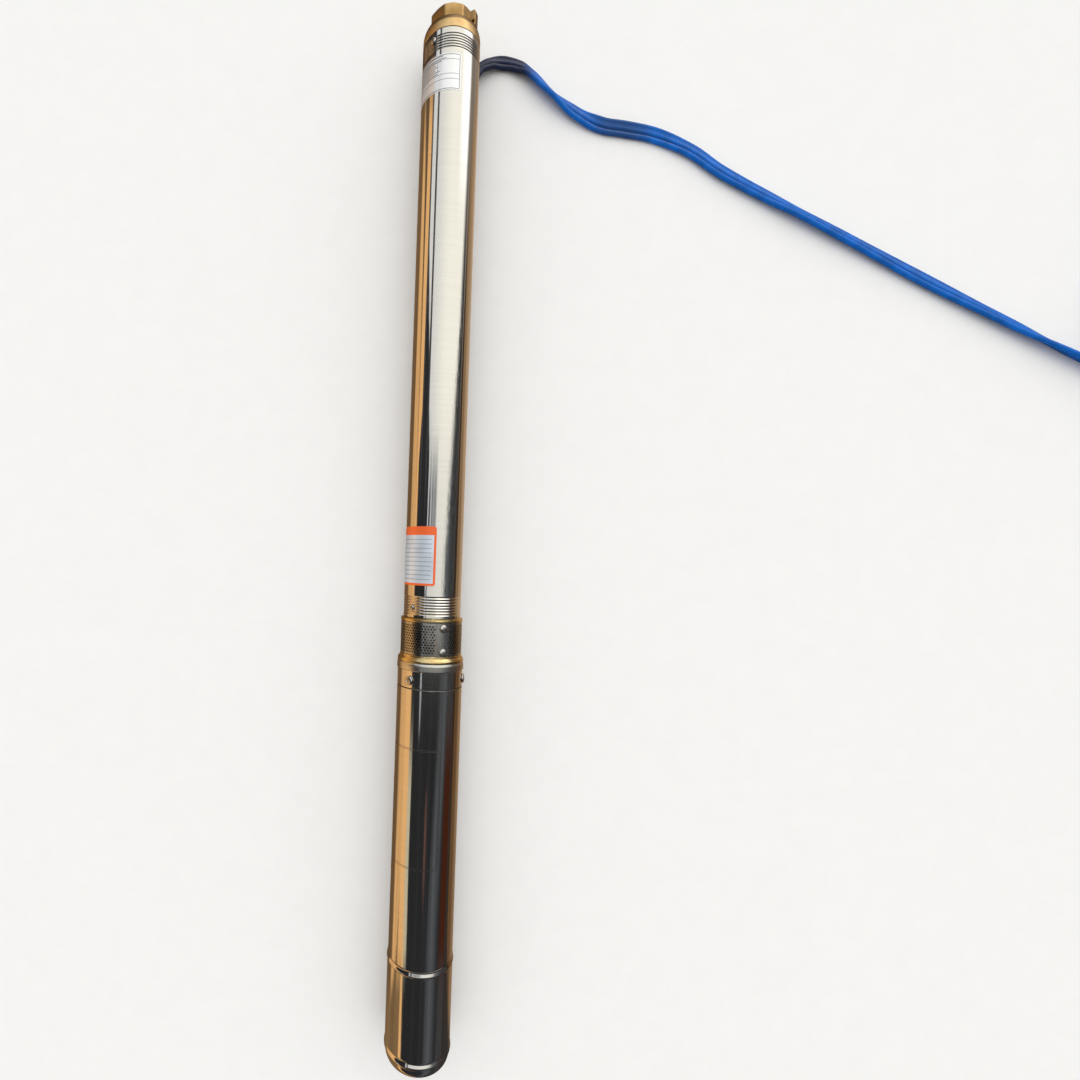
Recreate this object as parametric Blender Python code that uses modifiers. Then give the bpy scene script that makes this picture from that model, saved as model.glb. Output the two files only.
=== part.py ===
"""A 3 inch borehole submersible pump with its flat supply cable, lying on its side.

Lengths are metres. The axis is the world Y axis: the flat bottom face stands at the origin and the
outlet points along +Y. Every piece of the pump is modelled upright round its own Z axis and laid
down by the empty that carries it, so a height below is a distance from the bottom face. Angles round
the axis are degrees from the side that faces up when the pump lies down, growing towards +X.
"""

import math

import bmesh
import bpy
from mathutils import Matrix, Vector

# Clearances
SEAT_GAP = 0.0003
RUNNING_GAP = 0.0005

# Facets round the outer shells, the hidden pieces, the shafts and the screws
OUTER_SIDES = 28
INNER_SIDES = 18
SHAFT_SIDES = 12
SCREW_SIDES = 10

# Bottom cap and capacitor housing
CAP_HEIGHT = 0.012
CAP_RADIUS = 0.0378
CAP_FACE_RADIUS = 0.0295
CAP_SPIGOT = 0.012
HOUSING_RADIUS = 0.0384
HOUSING_WALL = 0.001
HOUSING_LENGTH = 0.1097
LOWER_BEAD_RADIUS = 0.0391
LOWER_BEAD_WIDTH = 0.0085
UPPER_BEAD_RADIUS = 0.0389
UPPER_BEAD_WIDTH = 0.006
CAPACITOR_RADIUS = 0.020
CAPACITOR_LENGTH = 0.068

# Motor
SHELL_RADIUS = 0.038
SHELL_WALL = 0.001
SHELL_LENGTH = 0.3337
SEAM_FROM_TOP = 0.020
SEAM_WIDTH = 0.002
SEAM_DEPTH = 0.0005
LOWER_BELL_SPIGOT = 0.010
LOWER_BELL_HEIGHT = 0.022
BEARING_RADIUS = 0.016
BEARING_HEIGHT = 0.011
MOTOR_SHAFT_RADIUS = 0.007
STATOR_BORE = 0.0192
WINDING_HEIGHT = 0.026
WINDING_GAP_BELOW = 0.0025
WINDING_GAP_ABOVE = 0.0075
WINDING_BORE = 0.021
WINDING_WALL = 0.0135
UPPER_BELL_DEPTH = 0.0590
TOP_RING_RADIUS = 0.039
TOP_RING_HEIGHT = 0.0087
TOP_RING_BEVEL = 0.0026
SEAL_CHAMBER_RADIUS = 0.015
SEAL_CHAMBER_DEPTH = 0.020
SEAL_SEAT_HEIGHT = 0.005
SHAFT_STUB = 0.0305

# Brass inlet body, strainer and its overlap strap
FLANGE_RADIUS = 0.0385
FLANGE_HEIGHT = 0.0057
SHELF_RADIUS = 0.036
SHELF_HEIGHT = 0.0023
STRAINER_RADIUS = 0.0358
STRAINER_WALL = 0.0008
STRAINER_LENGTH = 0.0374
STRAINER_ROWS = 3
HOLES_IN_ROW = 14
HOLE_SIZE = 0.0046
STRAP_FROM = 5.4
STRAP_TO = 29.0
STRAP_THICKNESS = 0.0005
BAND_RADIUS = 0.0362
BAND_HEIGHT = 0.0042
INLET_BORE = 0.027
INLET_SPIGOT = 0.020
WINDOW_HEIGHT = 0.020
WINDOW_WIDTH = 0.028
WINDOW_COUNT = 4

# Pump barrel with its rolled ring grooves
BARREL_RADIUS = 0.0335
BARREL_WALL = 0.0012
BARREL_LENGTH = 0.6656
LOWER_GROOVE_COUNT = 7
UPPER_GROOVE_COUNT = 6
GROOVE_DEPTH = 0.0005
LOWER_GROOVE_PITCH = 0.0032
UPPER_GROOVE_PITCH = 0.0030
LOWER_GROOVE_START = 0.0025
UPPER_GROOVE_START = 0.0060

# Stages: impellers on a hexagonal shaft, each in a bowl with return vanes
STAGES = 8
SHAFT_FLATS = 0.011
IMPELLER_RADIUS = 0.0275
IMPELLER_HEIGHT = 0.020
IMPELLER_STAND = 0.004
IMPELLER_HUB = 0.0095
SHROUD_THICKNESS = 0.0020
EYE_RADIUS = 0.0150
BLADE_COUNT = 5
BLADE_THICKNESS = 0.0016
BLADE_SWEEP = 62.0
BOWL_WALL = 0.0018
DIVIDER_RADIUS = 0.0265
DIVIDER_THICKNESS = 0.0035
VANE_COUNT = 5
VANE_THICKNESS = 0.0018
VANE_SWEEP = -34.0
VANE_HEAD_ROOM = 0.006
SPIDER_HEIGHT = 0.019
SPIDER_WALL = 0.003
BUSH_WALL = 0.002
COUPLING_RADIUS = 0.011
COUPLING_OVERLAP = 0.0155
SHAFT_END_GAP = 0.001

# Brass outlet head and check valve
HEAD_SPIGOT = 0.0345
COLLAR_HEIGHT = 0.0073
SHOULDER_HEIGHT = 0.010
NECK_RADIUS = 0.028
OCTAGON_FLATS = 0.050
OCTAGON_HEIGHT = 0.018
OCTAGON_CHAMFER = 0.0016
PORT_RADIUS = 0.0195
PORT_DEPTH = 0.030
LUG_ANGLE = 59.0
LUG_REACH = 0.0312
LUG_WIDTH = 0.0074
LUG_HEIGHT = 0.0235
LUG_EYE = 0.0044
GUIDE_HEIGHT = 0.006
GUIDE_HUB = 0.0065
GUIDE_WALL = 0.0023
VALVE_SEAT_BORE = 0.0125
VALVE_SEAT_HEIGHT = 0.005
VALVE_DISC_RADIUS = 0.0158
VALVE_DISC_HEIGHT = 0.004
VALVE_COLLAR_RADIUS = 0.006
VALVE_COLLAR_HEIGHT = 0.0035
VALVE_STEM_RADIUS = 0.004
VALVE_LIFT = 0.006
SEAL_RING_HEIGHT = 0.0025
LOWER_HEAD_BORE = 0.024

# Screws: three in the motor's top, one in each ring groove zone, two in the strap, two in the guard
MOTOR_SCREW_HEAD = 0.0053
MOTOR_SCREW_RISE = 0.0024
MOTOR_SCREW_SHANK = 0.0025
MOTOR_SCREW_FROM_TOP = 0.011
MOTOR_SCREW_ANGLES = (-40.0, 80.0, -160.0)
STRAP_SCREW_HEAD = 0.0040
STRAP_SCREW_RISE = 0.0022
SMALL_HEAD = 0.0031
SMALL_RISE = 0.0017
SMALL_SHANK = 0.0015
SCREW_DEPTH = 0.006
STRAP_SCREW_INSET_LOW = 0.0044
STRAP_SCREW_INSET_HIGH = 0.0060
LOWER_LOCK_HEIGHT = 0.0112
LOWER_LOCK_ANGLE = -47.0
UPPER_LOCK_INSET = 0.0104
UPPER_LOCK_ANGLE = -41.0

# Cable guard, gland and the flat cable held under the guard
GUARD_ANGLE = 138.0
GUARD_SHEET = 0.0006
GUARD_SLOPE = 0.0050
GUARD_FLANGE = 0.0085
GUARD_TOP_INSET = 0.0184
GUARD_SCREW_INSET = 0.012
CABLE_WIDTH = 0.0172
CABLE_THICKNESS = 0.0058
GLAND_HEIGHT = 0.0074
GLAND_WIDTH = 0.0200
CABLE_PAST_GUARD = 0.002

# Free cable on the floor, and its coil
FLOOR_LEVEL = -0.0391
CORD_RADIUS = 0.0048
CORD_POINT_SPACING = 0.028
CORD_STRAIGHT = 0.010
COIL_CENTRE = (0.9265, 0.9145)
COIL_MEETING_RADIUS = 0.1035
COIL_INNER = 0.0880
COIL_OUTER = 0.1070
COIL_HEIGHT = 0.0182
CORD_ROUTE = (
    (0.0285, 1.1780, -0.0298),
    (0.0360, 1.1920, -0.0315),
    (0.0500, 1.2015, -0.0332),
    (0.0670, 1.2050, -0.0343),
    (0.0850, 1.2010, -0.0343),
    (0.1020, 1.1905, -0.0343),
    (0.1280, 1.1660, -0.0343),
    (0.1600, 1.1450, -0.0343),
    (0.1910, 1.1315, -0.0343),
    (0.2220, 1.1270, -0.0343),
    (0.2600, 1.1210, -0.0343),
    (0.3040, 1.1040, -0.0343),
    (0.3430, 1.0790, -0.0343),
    (0.3930, 1.0530, -0.0343),
    (0.4440, 1.0280, -0.0343),
    (0.5060, 0.9985, -0.0343),
    (0.6000, 0.9530, -0.0343),
    (0.7000, 0.9055, -0.0343),
    (0.7900, 0.8632, -0.0343),
)

# Heights that follow, from the bottom face up
housing_foot = CAP_HEIGHT + SEAT_GAP
housing_top = housing_foot + HOUSING_LENGTH
shell_foot = housing_top + SEAT_GAP
shell_top = shell_foot + SHELL_LENGTH
ring_foot = shell_top + SEAT_GAP
ring_top = ring_foot + TOP_RING_HEIGHT
flange_foot = ring_top + SEAT_GAP
shelf_foot = flange_foot + FLANGE_HEIGHT
shelf_top = shelf_foot + SHELF_HEIGHT
strainer_foot = shelf_top + SEAT_GAP
strainer_top = strainer_foot + STRAINER_LENGTH
band_foot = strainer_top + SEAT_GAP
band_top = band_foot + BAND_HEIGHT
inlet_top = band_top + INLET_SPIGOT
barrel_foot = band_top + SEAT_GAP
barrel_top = barrel_foot + BARREL_LENGTH
collar_foot = barrel_top + SEAT_GAP
collar_top = collar_foot + COLLAR_HEIGHT
octagon_foot = collar_top + SHOULDER_HEIGHT
outlet_face = octagon_foot + OCTAGON_HEIGHT
head_foot = collar_foot - HEAD_SPIGOT
spider_top = head_foot - SEAT_GAP
spider_foot = spider_top - SPIDER_HEIGHT
stack_foot = inlet_top + SEAT_GAP
stage_pitch = (spider_foot - SEAT_GAP - stack_foot) / STAGES

# Radii that follow
housing_bore = HOUSING_RADIUS - HOUSING_WALL
shell_bore = SHELL_RADIUS - SHELL_WALL
inside_shell = shell_bore - SEAT_GAP
barrel_bore = BARREL_RADIUS - BARREL_WALL
inside_barrel = barrel_bore - SEAT_GAP
strainer_land = STRAINER_RADIUS - STRAINER_WALL - SEAT_GAP
hex_corner = SHAFT_FLATS / 2 / math.cos(math.radians(30))
shaft_clear = hex_corner + RUNNING_GAP

scene = bpy.context.scene
for leftover in list(bpy.data.objects):
    bpy.data.objects.remove(leftover, do_unlink=True)

parts = bpy.data.collections.new("borehole_submersible_pump")
cutters = bpy.data.collections.new("cutters")
scene.collection.children.link(parts)
scene.collection.children.link(cutters)

pump_axis = bpy.data.objects.new("pump_axis", None)
pump_axis.rotation_euler = (math.radians(-90), 0, 0)
parts.objects.link(pump_axis)
rotor_axis = bpy.data.objects.new("rotor_axis", None)
rotor_axis.parent = pump_axis
parts.objects.link(rotor_axis)
valve_axis = bpy.data.objects.new("valve_axis", None)
valve_axis.parent = pump_axis
parts.objects.link(valve_axis)

LOOKS = {
    "polished_steel": ((0.78, 0.77, 0.75), 0.16, 1.0),
    "brushed_steel": ((0.62, 0.61, 0.60), 0.34, 1.0),
    "strainer_steel": ((0.16, 0.15, 0.15), 0.38, 1.0),
    "brass": ((0.72, 0.50, 0.22), 0.32, 1.0),
    "blue_sheath": ((0.01, 0.11, 0.38), 0.40, 0.0),
    "black_rubber": ((0.02, 0.02, 0.02), 0.60, 0.0),
    "core_steel": ((0.30, 0.30, 0.31), 0.50, 1.0),
    "copper_winding": ((0.55, 0.22, 0.10), 0.45, 1.0),
    "stage_plastic": ((0.75, 0.73, 0.66), 0.50, 0.0),
    "capacitor_case": ((0.05, 0.05, 0.06), 0.45, 0.0),
}


def look(name):
    found = bpy.data.materials.get(name)
    if found:
        return found
    colour, roughness, metallic = LOOKS[name]
    made = bpy.data.materials.new(name)
    made.use_nodes = True
    shader = made.node_tree.nodes["Principled BSDF"]
    shader.inputs["Base Color"].default_value = (*colour, 1.0)
    shader.inputs["Roughness"].default_value = roughness
    shader.inputs["Metallic"].default_value = metallic
    made.diffuse_color = (*colour, 1.0)
    return made


def round_axis(radius, degrees, height=0.0):
    """A point at this radius and angle round the pump's axis."""
    turn = math.radians(degrees)
    return Vector((radius * math.sin(turn), -radius * math.cos(turn), height))


def outward(degrees, height=0.0, radius=0.0):
    """The frame of a radial piece: its Z points away from the axis, its Y along the pump."""
    out = round_axis(1.0, degrees)
    along = Vector((0, 0, 1))
    across = along.cross(out)
    turn = Matrix((across, along, out)).transposed().to_4x4()
    return Matrix.Translation(round_axis(radius, degrees, height)) @ turn


def add(name, mesh, material, parent=pump_axis, place=None):
    """A visible piece on its parent, where place is its matrix there."""
    piece = bpy.data.objects.new(name, mesh)
    parts.objects.link(piece)
    piece.parent = parent
    if place is not None:
        piece.matrix_local = place
    if not mesh.materials:
        mesh.materials.append(look(material))
    return piece


def helper(name, mesh, parent=pump_axis, place=None):
    """A shape that only cuts or joins another."""
    shape = bpy.data.objects.new(name, mesh)
    cutters.objects.link(shape)
    shape.parent = parent
    if place is not None:
        shape.matrix_local = place
    shape.hide_render = True
    shape.display_type = "WIRE"
    return shape


def profile_mesh(name, profile):
    """Edges of a turned profile, ordered so that the outer side runs from top to bottom."""
    points = list(profile)
    on_axis = points[0][0] == 0 and points[-1][0] == 0
    if on_axis:
        if points[0][1] < points[-1][1]:
            points.reverse()
    else:
        area = 0.0
        for (r0, h0), (r1, h1) in zip(points, points[1:] + points[:1]):
            area += r0 * h1 - r1 * h0
        if area > 0:
            points.reverse()
    mesh = bpy.data.meshes.new(name)
    count = len(points)
    edges = [(i, i + 1) for i in range(count - 1)]
    if not on_axis:
        edges.append((count - 1, 0))
    mesh.from_pydata([(r, 0, h) for r, h in points], edges, [])
    return mesh


def spin(obj, sides, degrees=360.0):
    """Turns the object's profile round its own Z axis."""
    screw = obj.modifiers.new("turned", "SCREW")
    screw.axis = "Z"
    screw.angle = math.radians(degrees)
    screw.steps = sides
    screw.render_steps = sides
    screw.use_merge_vertices = True
    screw.merge_threshold = 0.00001
    screw.use_smooth_shade = True
    return obj


def turned(name, profile, sides, material, parent=pump_axis, place=None):
    return spin(add(name, profile_mesh(name, profile), material, parent, place), sides)


def turned_helper(name, profile, sides, parent=pump_axis, place=None):
    return spin(helper(name, profile_mesh(name, profile), parent, place), sides)


def box_mesh(name, size, middle=(0, 0, 0)):
    mesh = bpy.data.meshes.new(name)
    shape = bmesh.new()
    bmesh.ops.create_cube(shape, size=1.0)
    bmesh.ops.scale(shape, vec=Vector(size), verts=shape.verts)
    bmesh.ops.translate(shape, vec=Vector(middle), verts=shape.verts)
    shape.to_mesh(mesh)
    shape.free()
    return mesh


def cylinder_mesh(name, radius, foot, top, sides, first=0.0, places=(Matrix.Identity(4),)):
    """Closed prisms or cylinders along Z, one for each place."""
    mesh = bpy.data.meshes.new(name)
    shape = bmesh.new()
    for place in places:
        middle = Matrix.Translation((0, 0, (foot + top) / 2))
        turn = Matrix.Rotation(math.radians(first), 4, "Z")
        bmesh.ops.create_cone(
            shape,
            cap_ends=True,
            segments=sides,
            radius1=radius,
            radius2=radius,
            depth=top - foot,
            matrix=place @ middle @ turn,
        )
    shape.to_mesh(mesh)
    shape.free()
    return mesh


def outline_mesh(name, outline, foot, top, copies=1):
    """A flat outline raised from foot to top, repeated evenly round the axis."""
    mesh = bpy.data.meshes.new(name)
    shape = bmesh.new()
    for copy in range(copies):
        turn = Matrix.Rotation(math.tau * copy / copies, 3, "Z")
        corners = [shape.verts.new(turn @ Vector((x, y, foot))) for x, y in outline]
        face = shape.faces.new(corners)
        raised = bmesh.ops.extrude_face_region(shape, geom=[face])
        moved = [item for item in raised["geom"] if isinstance(item, bmesh.types.BMVert)]
        bmesh.ops.translate(shape, vec=Vector((0, 0, top - foot)), verts=moved)
    bmesh.ops.recalc_face_normals(shape, faces=shape.faces)
    shape.to_mesh(mesh)
    shape.free()
    return mesh


def swept_outline(inner, outer, sweep, thickness, steps=2):
    """The outline of a swept blade: its middle line turns by sweep degrees on its way out."""

    def middle(share):
        radius = inner + (outer - inner) * share
        turn = math.radians(sweep) * share
        return Vector((radius * math.cos(turn), radius * math.sin(turn)))

    left = []
    right = []
    for step in range(steps + 1):
        share = step / steps
        along = (middle(share + 0.01) - middle(share - 0.01)).normalized()
        side = Vector((-along.y, along.x)) * thickness / 2
        left.append(tuple(middle(share) + side))
        right.append(tuple(middle(share) - side))
    return left + right[::-1]


def boolean(obj, other, operation):
    step = obj.modifiers.new(operation.lower(), "BOOLEAN")
    step.operation = operation
    step.solver = "EXACT"
    step.object = other
    return obj


def cut(obj, *others):
    for other in others:
        boolean(obj, other, "DIFFERENCE")
    return obj


def join(obj, *others):
    for other in others:
        boolean(obj, other, "UNION")
    return obj


def baked(obj, sharp=32.0):
    """Gives the object the mesh that its modifiers make, smooth with its edges kept."""
    graph = bpy.context.evaluated_depsgraph_get()
    mesh = bpy.data.meshes.new_from_object(obj.evaluated_get(graph))
    mesh.name = obj.name
    obj.modifiers.clear()
    obj.data = mesh
    mesh.shade_smooth()
    mesh.set_sharp_from_angle(angle=math.radians(sharp))
    return obj


def arc(radius_from, radius_to, height_from, height_to, steps, bulge_out=True):
    """Points of a quarter ellipse between two corners of a profile, both ends included."""
    points = []
    for step in range(steps + 1):
        turn = math.pi / 2 * step / steps
        if bulge_out:
            across, up = math.sin(turn), 1 - math.cos(turn)
        else:
            across, up = 1 - math.cos(turn), math.sin(turn)
        points.append(
            (
                radius_from + (radius_to - radius_from) * across,
                height_from + (height_to - height_from) * up,
            )
        )
    return points


def bead(radius, crest, foot, width, steps=3):
    """Points over a rolled bead that stands out from radius to crest."""
    return [
        (
            radius + (crest - radius) * math.sin(math.pi * step / steps),
            foot + width * step / steps,
        )
        for step in range(steps + 1)
    ]


def grooves(radius, depth, foot, pitch, count):
    """Points over a row of rolled ring grooves, from foot upwards."""
    points = [(radius, foot)]
    for number in range(count):
        points.append((radius - depth, foot + pitch * (number + 0.5)))
        points.append((radius, foot + pitch * (number + 1)))
    return points


def screw(name, head, rise, shank, depth, seat, degrees, height, material="brushed_steel"):
    """A pan head screw that points at the axis, with its head's underside at the seat radius."""
    profile = [
        (0, rise),
        (head * 0.72, rise * 0.92),
        (head, rise * 0.35),
        (head, 0),
        (shank, 0),
        (shank, -depth),
        (0, -depth),
    ]
    return turned(name, profile, SCREW_SIDES, material, place=outward(degrees, height, seat))


def screw_hole(name, shank, seat, depth, degrees, height):
    """The clear hole for a screw's shank, a little wider and deeper than the shank."""
    mesh = cylinder_mesh(name, shank + SEAT_GAP, -depth - SEAT_GAP, 0.003, 8)
    return helper(name, mesh, place=outward(degrees, height, seat))


# Bottom cap: rounded edge outside, a spigot inside the housing that carries the capacitor
cap_profile = [(0, CAP_HEIGHT + CAP_SPIGOT)]
cap_profile += [
    (housing_bore - SEAT_GAP, CAP_HEIGHT + CAP_SPIGOT),
    (housing_bore - SEAT_GAP, CAP_HEIGHT),
    (CAP_RADIUS, CAP_HEIGHT),
]
cap_profile += arc(CAP_FACE_RADIUS, CAP_RADIUS, 0, CAP_HEIGHT * 0.8, 3)[::-1]
cap_profile += [(0, 0)]
base_cap = turned("base_cap", cap_profile, OUTER_SIDES, "polished_steel")

# Capacitor housing: a drawn tube with a rolled bead at each end
housing_profile = bead(
    HOUSING_RADIUS, LOWER_BEAD_RADIUS, housing_foot, LOWER_BEAD_WIDTH
)
housing_profile += bead(
    HOUSING_RADIUS, UPPER_BEAD_RADIUS, housing_top - UPPER_BEAD_WIDTH, UPPER_BEAD_WIDTH
)
housing_profile += [(housing_bore, housing_top), (housing_bore, housing_foot)]
capacitor_housing = turned(
    "capacitor_housing", housing_profile, OUTER_SIDES, "polished_steel"
)
capacitor_foot = CAP_HEIGHT + CAP_SPIGOT + SEAT_GAP
capacitor = turned(
    "capacitor",
    [
        (0, capacitor_foot + CAPACITOR_LENGTH),
        (CAPACITOR_RADIUS, capacitor_foot + CAPACITOR_LENGTH),
        (CAPACITOR_RADIUS, capacitor_foot),
        (0, capacitor_foot),
    ],
    SHAFT_SIDES,
    "capacitor_case",
)

# Lower end bell: a bulkhead across the joint of the two tubes, with the lower bearing's pocket
bell_foot = shell_foot - LOWER_BELL_SPIGOT
bell_top = bell_foot + LOWER_BELL_HEIGHT
lower_bearing_foot = bell_top - BEARING_HEIGHT
shaft_foot = lower_bearing_foot - RUNNING_GAP
lower_end_bell = turned(
    "lower_end_bell",
    [
        (0, bell_foot),
        (inside_shell, bell_foot),
        (inside_shell, bell_top),
        (BEARING_RADIUS + SEAT_GAP, bell_top),
        (BEARING_RADIUS + SEAT_GAP, lower_bearing_foot - SEAT_GAP),
        (MOTOR_SHAFT_RADIUS + 0.003, lower_bearing_foot - SEAT_GAP),
        (MOTOR_SHAFT_RADIUS + 0.003, shaft_foot - 0.003),
        (0, shaft_foot - 0.003),
    ][::-1],
    INNER_SIDES,
    "core_steel",
)

# Motor: wound stator between the bells, rotor on its shaft, two bearings
winding_foot = bell_top + WINDING_GAP_BELOW
stator_foot = winding_foot + WINDING_HEIGHT + SEAT_GAP
upper_bell_foot = shell_top - UPPER_BELL_DEPTH
upper_winding_foot = upper_bell_foot - WINDING_GAP_ABOVE - WINDING_HEIGHT
stator_top = upper_winding_foot - SEAT_GAP
upper_bearing_foot = upper_bell_foot + SEAT_GAP
shaft_top = ring_top + SHAFT_STUB


def ring(name, inner, outer, foot, top, sides, material, parent=pump_axis):
    """A plain turned ring."""
    profile = [(inner, foot), (inner, top), (outer, top), (outer, foot)]
    return turned(name, profile, sides, material, parent)


stator_core = ring(
    "stator_core", STATOR_BORE, inside_shell, stator_foot, stator_top, INNER_SIDES, "core_steel"
)
for winding_name, foot in (
    ("winding_head_lower", winding_foot),
    ("winding_head_upper", upper_winding_foot),
):
    turned(
        winding_name,
        [
            (WINDING_BORE, foot),
            (WINDING_BORE, foot + WINDING_HEIGHT),
            (WINDING_BORE + WINDING_WALL * 0.75, foot + WINDING_HEIGHT),
            (WINDING_BORE + WINDING_WALL, foot + WINDING_HEIGHT * 0.8),
            (WINDING_BORE + WINDING_WALL, foot),
        ],
        SHAFT_SIDES,
        "copper_winding",
    )
bearing_bore = MOTOR_SHAFT_RADIUS + SEAT_GAP
for bearing_name, foot in (
    ("lower_bearing", lower_bearing_foot),
    ("upper_bearing", upper_bearing_foot),
):
    ring(
        bearing_name,
        bearing_bore,
        BEARING_RADIUS,
        foot,
        foot + BEARING_HEIGHT,
        INNER_SIDES,
        "brushed_steel",
    )
motor_shaft = turned(
    "motor_shaft",
    [
        (0, shaft_top),
        (MOTOR_SHAFT_RADIUS - 0.001, shaft_top),
        (MOTOR_SHAFT_RADIUS, shaft_top - 0.001),
        (MOTOR_SHAFT_RADIUS, shaft_foot),
        (0, shaft_foot),
    ],
    SHAFT_SIDES,
    "brushed_steel",
    rotor_axis,
)
rotor_core = ring(
    "rotor_core",
    MOTOR_SHAFT_RADIUS + SEAT_GAP,
    STATOR_BORE - RUNNING_GAP,
    stator_foot,
    stator_top,
    INNER_SIDES,
    "core_steel",
    rotor_axis,
)
motor_shell = turned(
    "motor_shell",
    [
        (shell_bore, shell_foot),
        (SHELL_RADIUS, shell_foot),
        (SHELL_RADIUS, shell_top - SEAM_FROM_TOP - SEAM_WIDTH / 2),
        (SHELL_RADIUS - SEAM_DEPTH, shell_top - SEAM_FROM_TOP),
        (SHELL_RADIUS, shell_top - SEAM_FROM_TOP + SEAM_WIDTH / 2),
        (SHELL_RADIUS, shell_top),
        (shell_bore, shell_top),
    ],
    OUTER_SIDES,
    "polished_steel",
)

# Upper end bell: carries the upper bearing, the shaft seal and the brushed ring under the inlet
seal_floor = ring_top - SEAL_CHAMBER_DEPTH
upper_end_bell = turned(
    "upper_end_bell",
    [
        (MOTOR_SHAFT_RADIUS + RUNNING_GAP * 2, seal_floor),
        (SEAL_CHAMBER_RADIUS, seal_floor),
        (SEAL_CHAMBER_RADIUS, ring_top),
        (TOP_RING_RADIUS - TOP_RING_BEVEL * 0.4, ring_top),
        (TOP_RING_RADIUS, ring_top - TOP_RING_BEVEL),
        (TOP_RING_RADIUS, ring_foot),
        (inside_shell, ring_foot),
        (inside_shell, upper_bell_foot),
        (BEARING_RADIUS + SEAT_GAP, upper_bell_foot),
        (BEARING_RADIUS + SEAT_GAP, upper_bearing_foot + BEARING_HEIGHT + SEAT_GAP),
        (MOTOR_SHAFT_RADIUS + RUNNING_GAP * 2, upper_bearing_foot + BEARING_HEIGHT + SEAT_GAP),
    ],
    OUTER_SIDES,
    "brushed_steel",
)
seal_seat = ring(
    "seal_seat",
    MOTOR_SHAFT_RADIUS + RUNNING_GAP * 3,
    SEAL_CHAMBER_RADIUS - SEAT_GAP,
    seal_floor + SEAT_GAP,
    seal_floor + SEAT_GAP + SEAL_SEAT_HEIGHT,
    SHAFT_SIDES,
    "core_steel",
)
seal_rotor = ring(
    "seal_rotor",
    MOTOR_SHAFT_RADIUS + SEAT_GAP,
    SEAL_CHAMBER_RADIUS - RUNNING_GAP * 4,
    seal_floor + SEAL_SEAT_HEIGHT + SEAT_GAP * 2,
    ring_top - SEAT_GAP,
    SHAFT_SIDES,
    "black_rubber",
    rotor_axis,
)
screw_height = shell_top - MOTOR_SCREW_FROM_TOP
screw_seat = SHELL_RADIUS + SEAT_GAP
for number, degrees in enumerate(MOTOR_SCREW_ANGLES, 1):
    screw(
        f"motor_screw_{number}",
        MOTOR_SCREW_HEAD,
        MOTOR_SCREW_RISE,
        MOTOR_SCREW_SHANK,
        SCREW_DEPTH,
        screw_seat,
        degrees,
        screw_height,
    )
    hole = screw_hole(
        f"motor_hole_{number}", MOTOR_SCREW_SHANK, screw_seat, SCREW_DEPTH, degrees, screw_height
    )
    cut(motor_shell, hole)
    cut(upper_end_bell, hole)

# Brass inlet body: flange, shelf and land for the strainer, four windows, band and spigot
inlet_body = turned(
    "inlet_body",
    [
        (INLET_BORE, flange_foot),
        (FLANGE_RADIUS, flange_foot),
        (FLANGE_RADIUS, flange_foot + FLANGE_HEIGHT * 0.4),
        (SHELF_RADIUS, shelf_foot),
        (SHELF_RADIUS, shelf_top),
        (strainer_land, shelf_top),
        (strainer_land, band_foot),
        (BAND_RADIUS, band_foot),
        (BAND_RADIUS, band_top),
        (inside_barrel, band_top),
        (inside_barrel, inlet_top),
        (INLET_BORE, inlet_top),
    ],
    OUTER_SIDES,
    "brass",
)
window_height = (strainer_foot + strainer_top) / 2
for number in range(WINDOW_COUNT // 2):
    window = helper(
        f"inlet_window_{number}",
        box_mesh(f"inlet_window_{number}", (WINDOW_WIDTH, WINDOW_HEIGHT, 4 * FLANGE_RADIUS)),
        place=outward(360 / WINDOW_COUNT * number + 62, window_height),
    )
    cut(inlet_body, window)

# Strainer: a drilled sleeve whose ends overlap under a plain strap with two screws
strainer = ring(
    "strainer",
    STRAINER_RADIUS - STRAINER_WALL,
    STRAINER_RADIUS,
    strainer_foot,
    strainer_top,
    OUTER_SIDES,
    "strainer_steel",
)
strap_outline = []
for radius, turns in (
    (STRAINER_RADIUS + STRAP_THICKNESS, (0.0, 0.33, 0.67, 1.0)),
    (STRAINER_RADIUS - STRAINER_WALL * 0.75, (1.0, 0.67, 0.33, 0.0)),
):
    for share in turns:
        corner = round_axis(radius, STRAP_FROM + (STRAP_TO - STRAP_FROM) * share)
        strap_outline.append((corner.x, corner.y))
join(strainer, helper("strap", outline_mesh("strap", strap_outline, strainer_foot, strainer_top)))
row_pitch = STRAINER_LENGTH / (STRAINER_ROWS + 0.6)
facet = 360 / OUTER_SIDES
hole_places = []
for row in range(STRAINER_ROWS):
    height = strainer_foot + row_pitch * (row + 0.8)
    for column in range(HOLES_IN_ROW):
        degrees = 360 / HOLES_IN_ROW * column + facet * (0.5 + row % 2) - 180
        if STRAP_FROM - 5 < degrees < STRAP_TO + 5:
            continue
        hole_places.append(outward(degrees, height, STRAINER_RADIUS))
drilling = cylinder_mesh(
    "strainer_drilling", HOLE_SIZE / 2, -0.002, 0.002, 4, places=hole_places
)
cut(strainer, helper("strainer_drilling", drilling))
strap_middle = (STRAP_FROM + STRAP_TO) / 2 + 0.8
strap_seat = STRAINER_RADIUS + STRAP_THICKNESS + SEAT_GAP
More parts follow.
